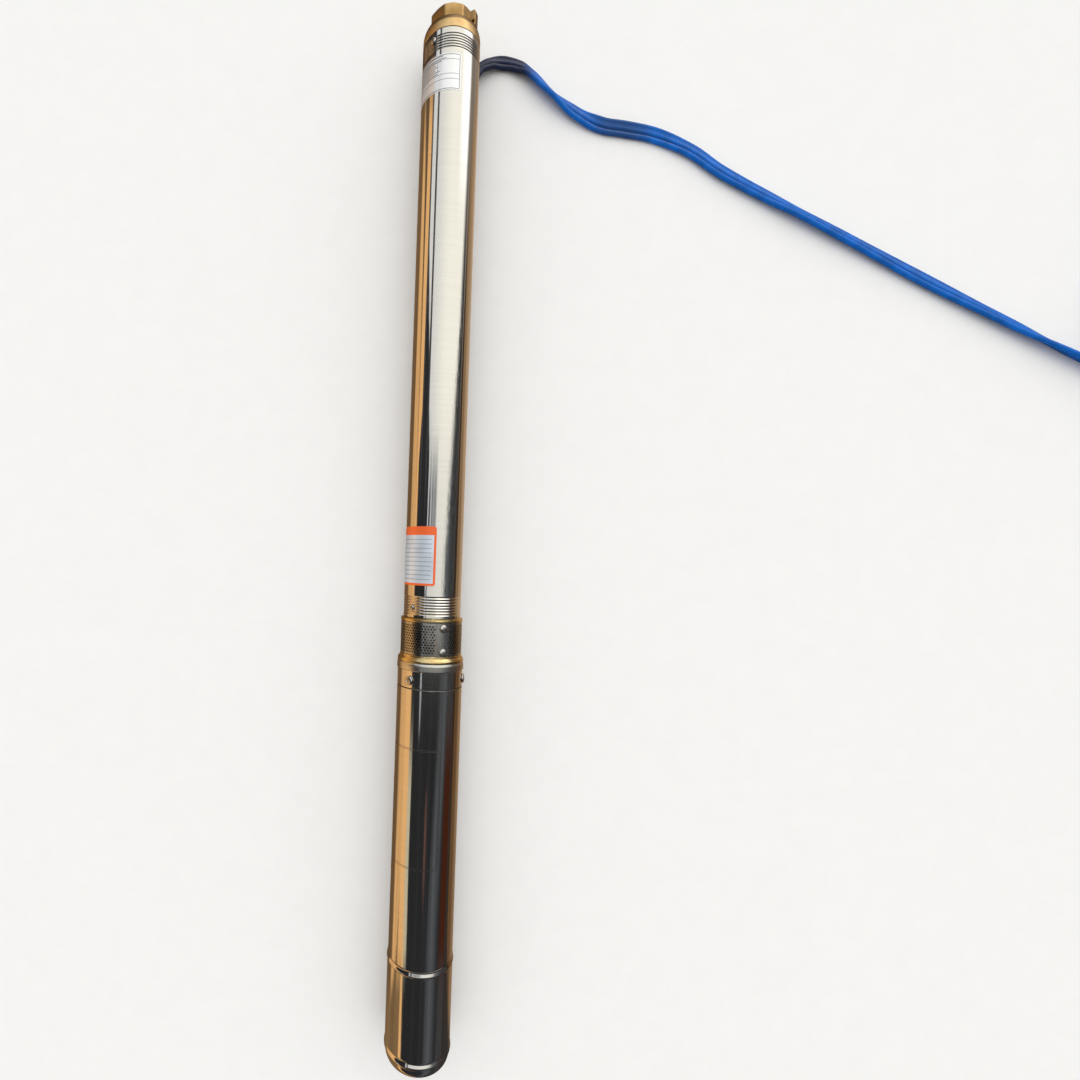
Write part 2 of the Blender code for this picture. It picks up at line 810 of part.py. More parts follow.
for number, height in enumerate(
    (strainer_foot + STRAP_SCREW_INSET_LOW, strainer_top - STRAP_SCREW_INSET_HIGH), 1
):
    screw(
        f"strainer_screw_{number}",
        STRAP_SCREW_HEAD,
        STRAP_SCREW_RISE,
        SMALL_SHANK,
        SCREW_DEPTH,
        strap_seat,
        strap_middle,
        height,
    )
    hole = screw_hole(
        f"strainer_hole_{number}", SMALL_SHANK, strap_seat, SCREW_DEPTH, strap_middle, height
    )
    cut(strainer, hole)
    cut(inlet_body, hole)

# Pump barrel: a drawn tube with rolled ring grooves near both ends, locked by two screws
barrel_profile = [(BARREL_RADIUS, barrel_foot)]
barrel_profile += grooves(
    BARREL_RADIUS,
    GROOVE_DEPTH,
    barrel_foot + LOWER_GROOVE_START,
    LOWER_GROOVE_PITCH,
    LOWER_GROOVE_COUNT,
)
barrel_profile += grooves(
    BARREL_RADIUS,
    GROOVE_DEPTH,
    barrel_top - UPPER_GROOVE_START - UPPER_GROOVE_PITCH * UPPER_GROOVE_COUNT,
    UPPER_GROOVE_PITCH,
    UPPER_GROOVE_COUNT,
)
barrel_profile += [
    (BARREL_RADIUS, barrel_top),
    (barrel_bore, barrel_top),
    (barrel_bore, barrel_foot),
]
pump_barrel = turned("pump_barrel", barrel_profile, OUTER_SIDES, "polished_steel")

# Outlet head: spigot, collar and shoulder turned, octagon and rope lug on top, stepped bore
port_floor = outlet_face - PORT_DEPTH
guide_top = port_floor - SEAT_GAP
guide_foot = guide_top - GUIDE_HEIGHT
guide_ring = PORT_RADIUS - RUNNING_GAP - SEAT_GAP
guide_shelf = guide_foot - SEAT_GAP
valve_seat_top = (
    guide_foot
    - RUNNING_GAP
    - VALVE_LIFT
    - VALVE_COLLAR_HEIGHT
    - VALVE_DISC_HEIGHT
    - SEAL_RING_HEIGHT
    - SEAT_GAP * 2
)
valve_seat_foot = valve_seat_top - VALVE_SEAT_HEIGHT
chamber = guide_ring - GUIDE_WALL * 0.5
head_profile = [
    (0, octagon_foot + OCTAGON_HEIGHT / 2),
    (NECK_RADIUS * 0.8, octagon_foot + OCTAGON_HEIGHT / 2),
    (NECK_RADIUS * 0.8, octagon_foot),
]
head_profile += arc(NECK_RADIUS, BARREL_RADIUS, octagon_foot, collar_top, 3)
head_profile += [
    (BARREL_RADIUS, collar_foot),
    (inside_barrel, collar_foot),
    (inside_barrel, head_foot),
    (0, head_foot),
]
outlet_head = turned("outlet_head", head_profile, OUTER_SIDES, "brass")
octagon = helper(
    "octagon",
    cylinder_mesh(
        "octagon",
        OCTAGON_FLATS / 2 / math.cos(math.radians(22.5)),
        octagon_foot - SHOULDER_HEIGHT / 4,
        outlet_face,
        8,
        22.5,
    ),
)
lug_foot = 0.75 * OCTAGON_FLATS / 2
lug = helper(
    "rope_lug",
    box_mesh(
        "rope_lug",
        (LUG_WIDTH, LUG_HEIGHT, LUG_REACH - lug_foot),
        (0, 0, (LUG_REACH + lug_foot) / 2),
    ),
    place=outward(LUG_ANGLE, outlet_face - OCTAGON_CHAMFER - RUNNING_GAP - LUG_HEIGHT / 2),
)
rounding = lug.modifiers.new("rounded", "BEVEL")
rounding.width = LUG_WIDTH * 0.16
rounding.segments = 1
join(outlet_head, octagon, lug)
chamfer_slope = OCTAGON_CHAMFER / (OCTAGON_FLATS / 2 * (1 / math.cos(math.radians(22.5)) - 1))
chamfer_out = 0.003
octagon_chamfer = turned_helper(
    "octagon_chamfer",
    [
        (OCTAGON_FLATS / 2 - 0.0005, outlet_face + 0.0005 * chamfer_slope),
        (
            OCTAGON_FLATS / 2 + chamfer_out,
            outlet_face - chamfer_out * chamfer_slope,
        ),
        (OCTAGON_FLATS / 2 + chamfer_out + 0.001, outlet_face + 0.0005 * chamfer_slope),
    ],
    OUTER_SIDES,
)
head_bore = turned_helper(
    "head_bore",
    [
        (0, outlet_face + 0.001),
        (PORT_RADIUS, outlet_face + 0.001),
        (PORT_RADIUS, port_floor),
        (guide_ring + SEAT_GAP, port_floor),
        (guide_ring + SEAT_GAP, guide_shelf),
        (chamber, guide_shelf),
        (chamber, valve_seat_top),
        (VALVE_SEAT_BORE, valve_seat_top),
        (VALVE_SEAT_BORE, valve_seat_foot),
        (LOWER_HEAD_BORE, valve_seat_foot - 0.004),
        (LOWER_HEAD_BORE, head_foot - 0.001),
        (0, head_foot - 0.001),
    ],
    INNER_SIDES,
)
lug_eye = helper(
    "lug_eye",
    cylinder_mesh("lug_eye", LUG_EYE / 2, -LUG_WIDTH, LUG_WIDTH, 8, 22.5),
    place=outward(LUG_ANGLE, outlet_face - LUG_HEIGHT / 2, LUG_REACH - LUG_EYE * 0.75)
    @ Matrix.Rotation(math.radians(90), 4, "Y"),
)
cut(outlet_head, octagon_chamfer, head_bore, lug_eye)
lock_seat = BARREL_RADIUS + SEAT_GAP
for name, degrees, height, holder in (
    ("lock_screw_lower", LOWER_LOCK_ANGLE, barrel_foot + LOWER_LOCK_HEIGHT, inlet_body),
    ("lock_screw_upper", UPPER_LOCK_ANGLE, barrel_top - UPPER_LOCK_INSET, outlet_head),
):
    screw(
        name, SMALL_HEAD, SMALL_RISE, SMALL_SHANK, SCREW_DEPTH, lock_seat, degrees, height
    )
    hole = screw_hole(name + "_hole", SMALL_SHANK, lock_seat, SCREW_DEPTH, degrees, height)
    cut(pump_barrel, hole)
    cut(holder, hole)


def spokes(name, inner, outer, width, foot, top, count=3):
    """Radial bars between a hub and a rim, as one shape with separate bodies."""
    half = width / 2
    outline = [(inner, -half), (outer, -half), (outer, half), (inner, half)]
    return helper(name, outline_mesh(name, outline, foot, top, count))


# Check valve: a guide that drops in through the port, and the poppet with its seal ring
valve_guide = ring(
    "valve_guide",
    guide_ring - GUIDE_WALL,
    guide_ring,
    guide_foot,
    guide_top,
    INNER_SIDES,
    "brass",
)
guide_hub = turned_helper(
    "guide_hub",
    [
        (VALVE_STEM_RADIUS + RUNNING_GAP, guide_foot),
        (VALVE_STEM_RADIUS + RUNNING_GAP, guide_top),
        (GUIDE_HUB, guide_top),
        (GUIDE_HUB, guide_foot),
    ],
    SCREW_SIDES,
)
join(
    valve_guide,
    guide_hub,
    spokes(
        "guide_spokes",
        (GUIDE_HUB + VALVE_STEM_RADIUS + RUNNING_GAP) / 2,
        guide_ring - GUIDE_WALL / 2,
        GUIDE_WALL,
        guide_foot + GUIDE_HEIGHT * 0.1,
        guide_top - GUIDE_HEIGHT * 0.1,
    ),
)
seal_foot = valve_seat_top + SEAT_GAP
seal_top = seal_foot + SEAL_RING_HEIGHT
disc_foot = seal_top + SEAT_GAP
disc_top = disc_foot + VALVE_DISC_HEIGHT
valve_boss = VALVE_SEAT_BORE * 0.72
poppet_seal = ring(
    "poppet_seal",
    valve_boss + SEAT_GAP,
    VALVE_DISC_RADIUS,
    seal_foot,
    seal_top,
    INNER_SIDES,
    "black_rubber",
    valve_axis,
)
check_valve_poppet = turned(
    "check_valve_poppet",
    [
        (0, guide_top),
        (VALVE_STEM_RADIUS, guide_top),
        (VALVE_STEM_RADIUS, disc_top + VALVE_COLLAR_HEIGHT),
        (VALVE_COLLAR_RADIUS, disc_top + VALVE_COLLAR_HEIGHT),
        (VALVE_COLLAR_RADIUS, disc_top),
        (VALVE_DISC_RADIUS, disc_top),
        (VALVE_DISC_RADIUS, disc_foot),
        (valve_boss, disc_foot),
        (valve_boss, valve_seat_foot + VALVE_SEAT_HEIGHT / 2),
        (0, valve_seat_foot),
    ],
    SHAFT_SIDES,
    "brass",
    valve_axis,
)

# Top bearing: a spider in the barrel's end with a bush for the shaft
bush_outer = shaft_clear + BUSH_WALL
hub_bore = bush_outer + SEAT_GAP
hub_outer = hub_bore + SPIDER_WALL
ring(
    "shaft_bush", shaft_clear, bush_outer, spider_foot, spider_top, SHAFT_SIDES, "black_rubber"
)
top_bearing_spider = ring(
    "top_bearing_spider",
    inside_barrel - SPIDER_WALL,
    inside_barrel,
    spider_foot,
    spider_top,
    INNER_SIDES,
    "stage_plastic",
)
spider_hub = turned_helper(
    "spider_hub",
    [
        (hub_bore, spider_foot),
        (hub_bore, spider_top),
        (hub_outer, spider_top),
        (hub_outer, spider_foot),
    ],
    SHAFT_SIDES,
)
join(
    top_bearing_spider,
    spider_hub,
    spokes(
        "spider_arms",
        (hub_bore + hub_outer) / 2,
        inside_barrel - SPIDER_WALL / 2,
        SPIDER_WALL,
        spider_foot + SPIDER_HEIGHT * 0.1,
        spider_top - SPIDER_HEIGHT * 0.1,
    ),
)

# Pump shaft: a hexagonal bar from the coupling to the top bearing
pump_shaft_foot = shaft_top + SHAFT_END_GAP
pump_shaft_top = spider_top - RUNNING_GAP
pump_shaft = add(
    "pump_shaft",
    cylinder_mesh("pump_shaft", hex_corner, pump_shaft_foot, pump_shaft_top, 6),
    "brushed_steel",
    rotor_axis,
)
hex_bore = hex_corner + SEAT_GAP / math.cos(math.radians(30))
coupling = turned(
    "coupling",
    [
        (0, pump_shaft_foot + COUPLING_OVERLAP),
        (COUPLING_RADIUS, pump_shaft_foot + COUPLING_OVERLAP),
        (COUPLING_RADIUS, shaft_top - COUPLING_OVERLAP),
        (0, shaft_top - COUPLING_OVERLAP),
    ],
    SHAFT_SIDES,
    "brushed_steel",
    rotor_axis,
)
cut(
    coupling,
    helper(
        "coupling_hex",
        cylinder_mesh(
            "coupling_hex",
            hex_bore,
            pump_shaft_foot - SHAFT_END_GAP * 0.75,
            pump_shaft_foot + COUPLING_OVERLAP + 0.001,
            6,
        ),
    ),
    helper(
        "coupling_bore",
        cylinder_mesh(
            "coupling_bore",
            MOTOR_SHAFT_RADIUS + SEAT_GAP,
            shaft_top - COUPLING_OVERLAP - 0.001,
            shaft_top + SHAFT_END_GAP * 0.75,
            SHAFT_SIDES,
        ),
    ),
)

# Stage: an impeller with swept blades under a bowl whose return vanes carry the divider
impeller_top = IMPELLER_STAND + IMPELLER_HEIGHT
impeller = turned(
    "impeller_1",
    [
        (0, impeller_top),
        (IMPELLER_RADIUS, impeller_top),
        (IMPELLER_RADIUS, impeller_top - SHROUD_THICKNESS),
        (IMPELLER_HUB * 1.6, impeller_top - SHROUD_THICKNESS * 1.6),
        (IMPELLER_HUB, impeller_top - IMPELLER_HEIGHT * 0.5),
        (IMPELLER_HUB, IMPELLER_STAND),
        (0, IMPELLER_STAND),
    ],
    SHAFT_SIDES,
    "stage_plastic",
    rotor_axis,
)
blades = helper(
    "impeller_blades",
    outline_mesh(
        "impeller_blades",
        swept_outline(EYE_RADIUS * 0.85, IMPELLER_RADIUS * 0.985, BLADE_SWEEP, BLADE_THICKNESS),
        IMPELLER_STAND,
        impeller_top - SHROUD_THICKNESS / 2,
        BLADE_COUNT,
    ),
)
join(impeller, blades)
cut(
    impeller,
    helper(
        "impeller_hex",
        cylinder_mesh(
            "impeller_hex", hex_bore, IMPELLER_STAND - 0.001, impeller_top + 0.001, 6
        ),
    ),
)
divider_foot = impeller_top + RUNNING_GAP * 2
divider_top = divider_foot + DIVIDER_THICKNESS
bowl_height = stage_pitch - SEAT_GAP
diffuser = ring(
    "diffuser_1",
    inside_barrel - BOWL_WALL,
    inside_barrel,
    0,
    bowl_height,
    INNER_SIDES,
    "stage_plastic",
)
divider = turned_helper(
    "divider",
    [
        (shaft_clear, divider_foot),
        (shaft_clear, divider_top + DIVIDER_THICKNESS),
        (DIVIDER_RADIUS, divider_top),
        (DIVIDER_RADIUS, divider_foot),
    ],
    SHAFT_SIDES,
)
return_vanes = helper(
    "return_vanes",
    outline_mesh(
        "return_vanes",
        swept_outline(
            shaft_clear + BUSH_WALL * 2,
            inside_barrel - BOWL_WALL / 2,
            VANE_SWEEP,
            VANE_THICKNESS,
            1,
        ),
        divider_foot + DIVIDER_THICKNESS / 3,
        stage_pitch - VANE_HEAD_ROOM,
        VANE_COUNT,
    ),
)
join(diffuser, divider, return_vanes)

# Cable guard: a folded channel over the flat cable, with a flange on the barrel at each side
cable_inner = BAND_RADIUS + SEAT_GAP * 2
cable_outer = cable_inner + CABLE_THICKNESS
guard_top = cable_outer + SEAT_GAP + GUARD_SHEET / 2
guard_half = CABLE_WIDTH / 2 + SEAT_GAP * 2 + GUARD_SHEET / 2
flange_radius = BARREL_RADIUS + SEAT_GAP + GUARD_SHEET / 2
flange_from = math.degrees(math.asin((guard_half + GUARD_SLOPE) / flange_radius))
flange_to = flange_from + math.degrees(GUARD_FLANGE / flange_radius)
guard_foot = strainer_foot + RUNNING_GAP
guard_end = barrel_top - GUARD_TOP_INSET


def sheet_outline(path, thickness):
    """The outline of a sheet of this thickness whose middle follows the path."""
    sides = ([], [])
    for number, point in enumerate(path):
        before = path[max(number - 1, 0)]
        after = path[min(number + 1, len(path) - 1)]
        ins = (point - before).normalized() if number else (after - point).normalized()
        outs = (after - point).normalized() if number < len(path) - 1 else ins
        along = (ins + outs).normalized()
        normal = Vector((-along.y, along.x))
        reach = thickness / 2 / max(0.3, along.dot(ins))
        for side, sign in zip(sides, (1, -1)):
            side.append(tuple(point + normal * reach * sign))
    return sides[0] + sides[1][::-1]


guard_path = []
for share in (1.0, 0.5, 0.0):
    turn = math.radians(flange_from + (flange_to - flange_from) * share)
    guard_path.append(Vector((-flange_radius * math.sin(turn), flange_radius * math.cos(turn))))
guard_path.append(Vector((-guard_half, guard_top)))
guard_path += [Vector((-point.x, point.y)) for point in guard_path[::-1]]
guard_turn = Matrix.Rotation(math.radians(GUARD_ANGLE + 180), 4, "Z")
cable_guard = add(
    "cable_guard",
    outline_mesh("cable_guard", sheet_outline(guard_path, GUARD_SHEET), guard_foot, guard_end),
    "polished_steel",
    place=guard_turn,
)
guard_relief = helper(
    "guard_relief",
    cylinder_mesh(
        "guard_relief",
        BAND_RADIUS + SEAT_GAP,
        guard_foot - 0.001,
        barrel_foot + SEAT_GAP,
        OUTER_SIDES,
    ),
)
cut(cable_guard, guard_relief)
guard_screw_angle = GUARD_ANGLE + (flange_from + flange_to) / 2
guard_seat = flange_radius + GUARD_SHEET / 2 + SEAT_GAP
guard_screw_depth = guard_seat - barrel_bore - SEAT_GAP
for name, height in (
    ("guard_screw_lower", barrel_foot + GUARD_SCREW_INSET * 2.5),
    ("guard_screw_upper", guard_end - GUARD_SCREW_INSET),
):
    screw(
        name,
        SMALL_HEAD,
        SMALL_RISE,
        SMALL_SHANK,
        guard_screw_depth,
        guard_seat,
        guard_screw_angle,
        height,
    )
    hole = screw_hole(
        name + "_hole",
        SMALL_SHANK,
        guard_seat,
        guard_screw_depth + SEAT_GAP * 2,
        guard_screw_angle,
        height,
    )
    cut(cable_guard, hole)
    cut(pump_barrel, hole)

# Gland on the motor's ring, in a notch of the brass flange, and the cable held under the guard
gland_inner = (INLET_BORE + SHELF_RADIUS) / 2 + 0.001
notch = helper(
    "gland_notch",
    box_mesh(
        "gland_notch",
        (
            GLAND_WIDTH + SEAT_GAP * 2,
            FLANGE_HEIGHT + SHELF_HEIGHT + 0.002,
            FLANGE_RADIUS,
        ),
        (0, 0, gland_inner - SEAT_GAP + FLANGE_RADIUS / 2),
    ),
    place=outward(GUARD_ANGLE, (flange_foot + shelf_top) / 2),
)
cut(inlet_body, notch)
cable_gland = add(
    "cable_gland",
    box_mesh(
        "cable_gland",
        (GLAND_WIDTH, GLAND_HEIGHT, cable_outer - gland_inner),
        (0, 0, (cable_outer + gland_inner) / 2),
    ),
    "black_rubber",
    place=outward(GUARD_ANGLE, flange_foot + GLAND_HEIGHT / 2),
)
rounding = cable_gland.modifiers.new("rounded", "BEVEL")
rounding.width = GLAND_HEIGHT * 0.15
rounding.segments = 2
held_foot = flange_foot + GLAND_HEIGHT + SEAT_GAP
held_top = guard_end + CABLE_PAST_GUARD
guarded_cable = add(
    "guarded_cable",
    box_mesh(
        "guarded_cable",
        (CABLE_WIDTH, held_top - held_foot, CABLE_THICKNESS),
        (0, 0, (cable_inner + cable_outer) / 2),
    ),
    "blue_sheath",
    place=outward(GUARD_ANGLE, (held_foot + held_top) / 2),
)
edge = guarded_cable.modifiers.new("rounded", "BEVEL")
edge.width = CABLE_THICKNESS * 0.3
edge.segments = 2
edge.limit_method = "ANGLE"

# Finished meshes, and the copies of the stage up the shaft
for obj in list(parts.objects):
    if obj.type == "MESH":
        baked(obj)
for number in range(1, STAGES + 1):
    lift = Matrix.Translation((0, 0, stack_foot + stage_pitch * (number - 1)))
    turn = Matrix.Rotation(math.radians(25.0 * number), 4, "Z")
    if number == 1:
        diffuser.matrix_local = lift
        impeller.matrix_local = lift
        continue
    add(f"diffuser_{number}", diffuser.data, "stage_plastic", place=lift @ turn)
    add(
        f"impeller_{number}",
        impeller.data,
        "stage_plastic",
        rotor_axis,
        lift @ Matrix.Rotation(math.radians(60.0 * number), 4, "Z"),
    )


# Free cable: a smooth curve through the route, read at even steps, and the coil's outer shape
def smooth_curve(before, points, spacing):
    """Points at about this spacing along a Catmull-Rom curve that comes from the point before."""
    padded = [before, *points, points[-1] * 2 - points[-2]]
    fine = []
    for p0, p1, p2, p3 in zip(padded, padded[1:], padded[2:], padded[3:]):
        for step in range(24):
            t = step / 24
            fine.append(
                0.5
                * (
                    2 * p1
                    + (p2 - p0) * t
                    + (2 * p0 - 5 * p1 + 4 * p2 - p3) * t * t
                    + (3 * p1 - p0 - 3 * p2 + p3) * t * t * t
                )
            )
    fine.append(points[-1])
    lengths = [0.0]
    for a, b in zip(fine, fine[1:]):
        lengths.append(lengths[-1] + (b - a).length)
    count = max(2, round(lengths[-1] / spacing))
    even = []
    index = 0
    for number in range(count + 1):
        wanted = lengths[-1] * number / count
        while index < len(fine) - 2 and lengths[index + 1] < wanted:
            index += 1
        share = (wanted - lengths[index]) / max(lengths[index + 1] - lengths[index], 1e-9)
        even.append(fine[index].lerp(fine[index + 1], min(share, 1.0)))
    return even


bpy.context.view_layer.update()
cord_radius_out = (cable_inner + cable_outer) / 2
cord_start = held_top + SEAT_GAP * 2
exit_point = pump_axis.matrix_world @ round_axis(cord_radius_out, GUARD_ANGLE, cord_start)
straight = exit_point + Vector((0, CORD_STRAIGHT, 0))
coil_middle = Vector((*COIL_CENTRE, FLOOR_LEVEL))
last = Vector(CORD_ROUTE[-1])
across = (coil_middle - last).to_2d()
turn_in = math.asin(COIL_MEETING_RADIUS / across.length)
heading = Matrix.Rotation(-turn_in, 2) @ across.normalized()
run_in = across.length * math.cos(turn_in)
clear_reach = COIL_OUTER * math.cos(math.pi / OUTER_SIDES) + CORD_RADIUS + SEAT_GAP
run_in -= math.sqrt(clear_reach**2 - COIL_MEETING_RADIUS**2)
cord_end = last + Vector((*(heading * run_in), 0))
route = [straight, *[Vector(point) for point in CORD_ROUTE], cord_end]
cord = bpy.data.curves.new("drop_cable", "CURVE")
cord.dimensions = "3D"
cord.bevel_depth = CORD_RADIUS
cord.bevel_resolution = 2
cord.use_fill_caps = True
line = cord.splines.new("POLY")
cord_points = [exit_point, *smooth_curve(exit_point, route, CORD_POINT_SPACING)]
line.points.add(len(cord_points) - 1)
for target, point in zip(line.points, cord_points):
    target.co = (*point, 1.0)
drop_cable = bpy.data.objects.new("drop_cable", cord)
cord.materials.append(look("blue_sheath"))
parts.objects.link(drop_cable)
turned(
    "cable_coil",
    [
        (COIL_INNER, 0),
        (COIL_INNER, COIL_HEIGHT),
        (COIL_OUTER, COIL_HEIGHT),
        (COIL_OUTER, 0),
    ],
    OUTER_SIDES,
    "blue_sheath",
    None,
    Matrix.Translation(coil_middle),
)
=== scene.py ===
"""The looks of a borehole submersible pump that lies on a floor, with its flat supply cable.

Everything is in metres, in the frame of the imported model: the pump's axis is world Y, its flat bottom
face is at the origin and its outlet points along +Y. Angles round the axis are degrees from the side
that faces up, growing towards +X, as in the part's source.
"""

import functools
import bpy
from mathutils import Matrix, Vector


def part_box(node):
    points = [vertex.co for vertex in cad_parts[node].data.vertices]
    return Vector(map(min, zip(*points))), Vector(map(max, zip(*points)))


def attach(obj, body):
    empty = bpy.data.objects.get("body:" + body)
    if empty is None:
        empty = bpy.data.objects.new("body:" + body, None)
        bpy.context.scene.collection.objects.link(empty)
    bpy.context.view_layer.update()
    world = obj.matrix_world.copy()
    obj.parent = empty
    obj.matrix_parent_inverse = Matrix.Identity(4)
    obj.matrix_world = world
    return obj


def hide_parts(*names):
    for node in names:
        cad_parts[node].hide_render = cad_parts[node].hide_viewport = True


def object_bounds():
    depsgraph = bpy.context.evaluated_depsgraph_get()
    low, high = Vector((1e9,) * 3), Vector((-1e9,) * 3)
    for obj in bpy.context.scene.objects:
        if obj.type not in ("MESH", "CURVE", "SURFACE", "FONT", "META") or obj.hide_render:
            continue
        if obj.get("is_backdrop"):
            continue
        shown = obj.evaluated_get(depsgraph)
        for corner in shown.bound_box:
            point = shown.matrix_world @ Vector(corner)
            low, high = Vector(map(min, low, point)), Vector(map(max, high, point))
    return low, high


bl_info = {
    "name": "Borehole Submersible Pump",
    "version": (1, 0, 0),
    "blender": (4, 5, 0),
    "location": "3D View > Sidebar > Pump",
    "description": "Builds the visible pieces and finishes of a borehole submersible pump",
    "category": "Object",
}

import inspect
import math

import bmesh
import bpy
from bpy.props import FloatProperty, FloatVectorProperty, IntProperty, PointerProperty
from mathutils import Matrix, Vector

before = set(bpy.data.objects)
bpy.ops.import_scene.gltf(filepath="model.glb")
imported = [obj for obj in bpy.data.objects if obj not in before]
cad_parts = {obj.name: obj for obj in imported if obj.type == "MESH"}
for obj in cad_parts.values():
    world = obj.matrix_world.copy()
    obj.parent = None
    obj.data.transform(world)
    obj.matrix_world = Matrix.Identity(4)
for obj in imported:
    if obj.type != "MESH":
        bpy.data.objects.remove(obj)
CAD_LOW, CAD_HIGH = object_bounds()
PUMP = "pump"

# Clearance between neighbours, as in the model, and facets round the smooth pieces
CLEARANCE = 0.0003
SKIN = 0.00008
SIDES = 192
SOFT_EDGE = 0.0004


def low(node, axis=1):
    """The lowest coordinate of a node, along the pump's axis unless another is named."""
    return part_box(node)[0][axis]


def high(node, axis=1):
    """The highest coordinate of a node, along the pump's axis unless another is named."""
    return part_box(node)[1][axis]


# Radii and heights read from the frame
FLOOR = CAD_LOW.z
BARREL_RADIUS = high("pump_barrel", 2)
BARREL_FOOT = low("pump_barrel")
BARREL_TOP = high("pump_barrel")
MOTOR_RADIUS = high("motor_shell", 2)
MOTOR_FOOT = low("motor_shell")
MOTOR_TOP = high("motor_shell")
HOUSING_FOOT = low("capacitor_housing")
HOUSING_TOP = high("capacitor_housing")
STRAINER_FOOT = low("strainer")
STRAINER_TOP = high("strainer")
OUTLET_FACE = high("outlet_head")
OUTLET_FOOT = low("outlet_head")
RING_TOP = high("upper_end_bell")
GUIDE_FOOT = low("valve_guide")
GUIDE_TOP = high("valve_guide")
GUIDE_RADIUS = high("valve_guide", 2)
VALVE_SEAT = low("poppet_seal") - CLEARANCE

# Sizes that the boxes don't give
HOUSING_RADIUS = 0.0384
LOWER_BEAD_RADIUS = 0.0393
LOWER_BEAD_WIDTH = 0.0085
UPPER_BEAD_RADIUS = 0.0392
UPPER_BEAD_WIDTH = 0.0075
CAP_RADIUS = 0.0378
CAP_FACE_RADIUS = 0.0295
MOTOR_WALL = 0.001
SEAM_FROM_TOP = 0.020
SEAM_DEPTH = 0.00025
RING_RADIUS = 0.039
SHAFT_BORE = 0.008
SEAL_RADIUS = 0.015
SEAL_DEPTH = 0.020
BEARING_SEAT = 0.0163
BEARING_DEPTH = 0.0116
INLET_BORE = 0.027
FLANGE_RADIUS = 0.0385
SHELF_RADIUS = 0.036
BAND_RADIUS = 0.0362
WINDOW_INSET = 0.0087
POSTS = 4
FIRST_POST = 17.0
HALF_POST = 21.0
STRAINER_RADIUS = 0.0358
STRAINER_WALL = 0.0008
STRAP_FROM = 5.4
STRAP_TO = 29.0
BARREL_WALL = 0.0012
STRAINER_HOLE_ROWS = 11
STRAINER_RIM = 0.0024
NECK_RADIUS = 0.028
SHOULDER_HEIGHT = 0.010
OCTAGON_CHAMFER = 0.0016
OCTAGON_HEIGHT = 0.018
OCTAGON_HALF = 0.025
PORT_RADIUS = 0.0195
THREAD_PITCH = 0.0023
VALVE_BORE = 0.0125
SPIGOT_BORE = 0.024
LUG_ANGLE = 59.0
LUG_REACH = 0.0312
LUG_WIDTH = 0.0074
LUG_HEIGHT = 0.0235
LUG_EYE = 0.0044

# A rolled bead from its foot to its top: shares of its width, and lifts with 1 at the crown
BEAD_SHARES = (
    0.0, 0.035, 0.08, 0.13, 0.19, 0.25, 0.31, 0.365, 0.42, 0.48,
    0.54, 0.60, 0.66, 0.72, 0.775, 0.82, 0.87, 0.93, 1.0,
)
BEAD_LIFTS = (
    0.0, 0.24, 0.55, 0.78, 0.93, 1.0, 0.98, 0.87, 0.69, 0.48,
    0.27, 0.06, -0.15, -0.36, -0.52, -0.55, -0.42, -0.17, 0.0,
)

# Rolled grooves: how far from the barrel's end, their spacing and their number
LOWER_GROOVES = (0.0025, 0.0032, 7)
UPPER_GROOVES = (0.0060, 0.0030, 6)

# Where the painted dark reflection at the left of the upper grooves starts and is full, across the pump
TINT_EDGE = (-0.0165, -0.0195)

# Plates on the tubes: from and to, in degrees, then foot and top
LABEL = (-104.0, 17.0, 1.1100, 1.1516)
STICKER = (-102.0, 1.0, 0.5526, 0.6196)
STICKER_HEADER = 0.0098
PLATE = (-102.0, 22.0, 0.2340, 0.3700)

# Free cable: the route over the floor and the roll of the flat section at each point, in degrees
CABLE_EXIT = (0.02656, 1.1656, -0.02950)
CABLE_EXIT_ROLL = 42.0
CABLE_ROUTE = (
    (0.0266, 1.1756, -0.0295, 41.0),
    (0.0285, 1.1780, -0.0298, 40.0),
    (0.0360, 1.1920, -0.0315, 32.0),
    (0.0500, 1.2015, -0.0332, 20.0),
    (0.0670, 1.2050, -0.0343, 4.0),
    (0.0850, 1.2010, -0.0343, 13.0),
    (0.1020, 1.1905, -0.0343, 37.0),
    (0.1280, 1.1660, -0.0343, 50.0),
    (0.1600, 1.1450, -0.0343, 16.0),
    (0.1910, 1.1315, -0.0343, -14.0),
    (0.2220, 1.1270, -0.0343, -16.0),
    (0.2600, 1.1210, -0.0343, -8.0),
    (0.3040, 1.1040, -0.0343, 8.0),
    (0.3430, 1.0790, -0.0343, 12.0),
    (0.3930, 1.0530, -0.0343, 18.0),
    (0.4440, 1.0280, -0.0343, 32.0),
    (0.5060, 0.9985, -0.0343, 26.0),
    (0.6000, 0.9530, -0.0343, 14.0),
    (0.7000, 0.9055, -0.0343, 30.0),
    (0.7900, 0.8632, -0.0343, 64.0),
)
ROUTE_FLOOR_LEVEL = -0.0343
COIL_CENTRE = (0.9265, 0.9145)
COIL_ROLL = 90.0
COIL_STEPS = 48
COIL_LIFT = 0.0008
ROUTE_STEPS = 10
LOBES = 3
DEEP_VALLEY = 0.50
SHALLOW_VALLEY = 0.86
HELD_CABLE = (0.0172, 0.0058)
CORES = (
    ("brown", (0.16, 0.05, 0.02)),
    ("blue", (0.02, 0.08, 0.35)),
    ("green", (0.10, 0.42, 0.05)),
)
CORE_LENGTH = 0.032
CORE_RADIUS = 0.0014
TIE_ANGLE = 205.0
TIE_WIDTH = 0.0044

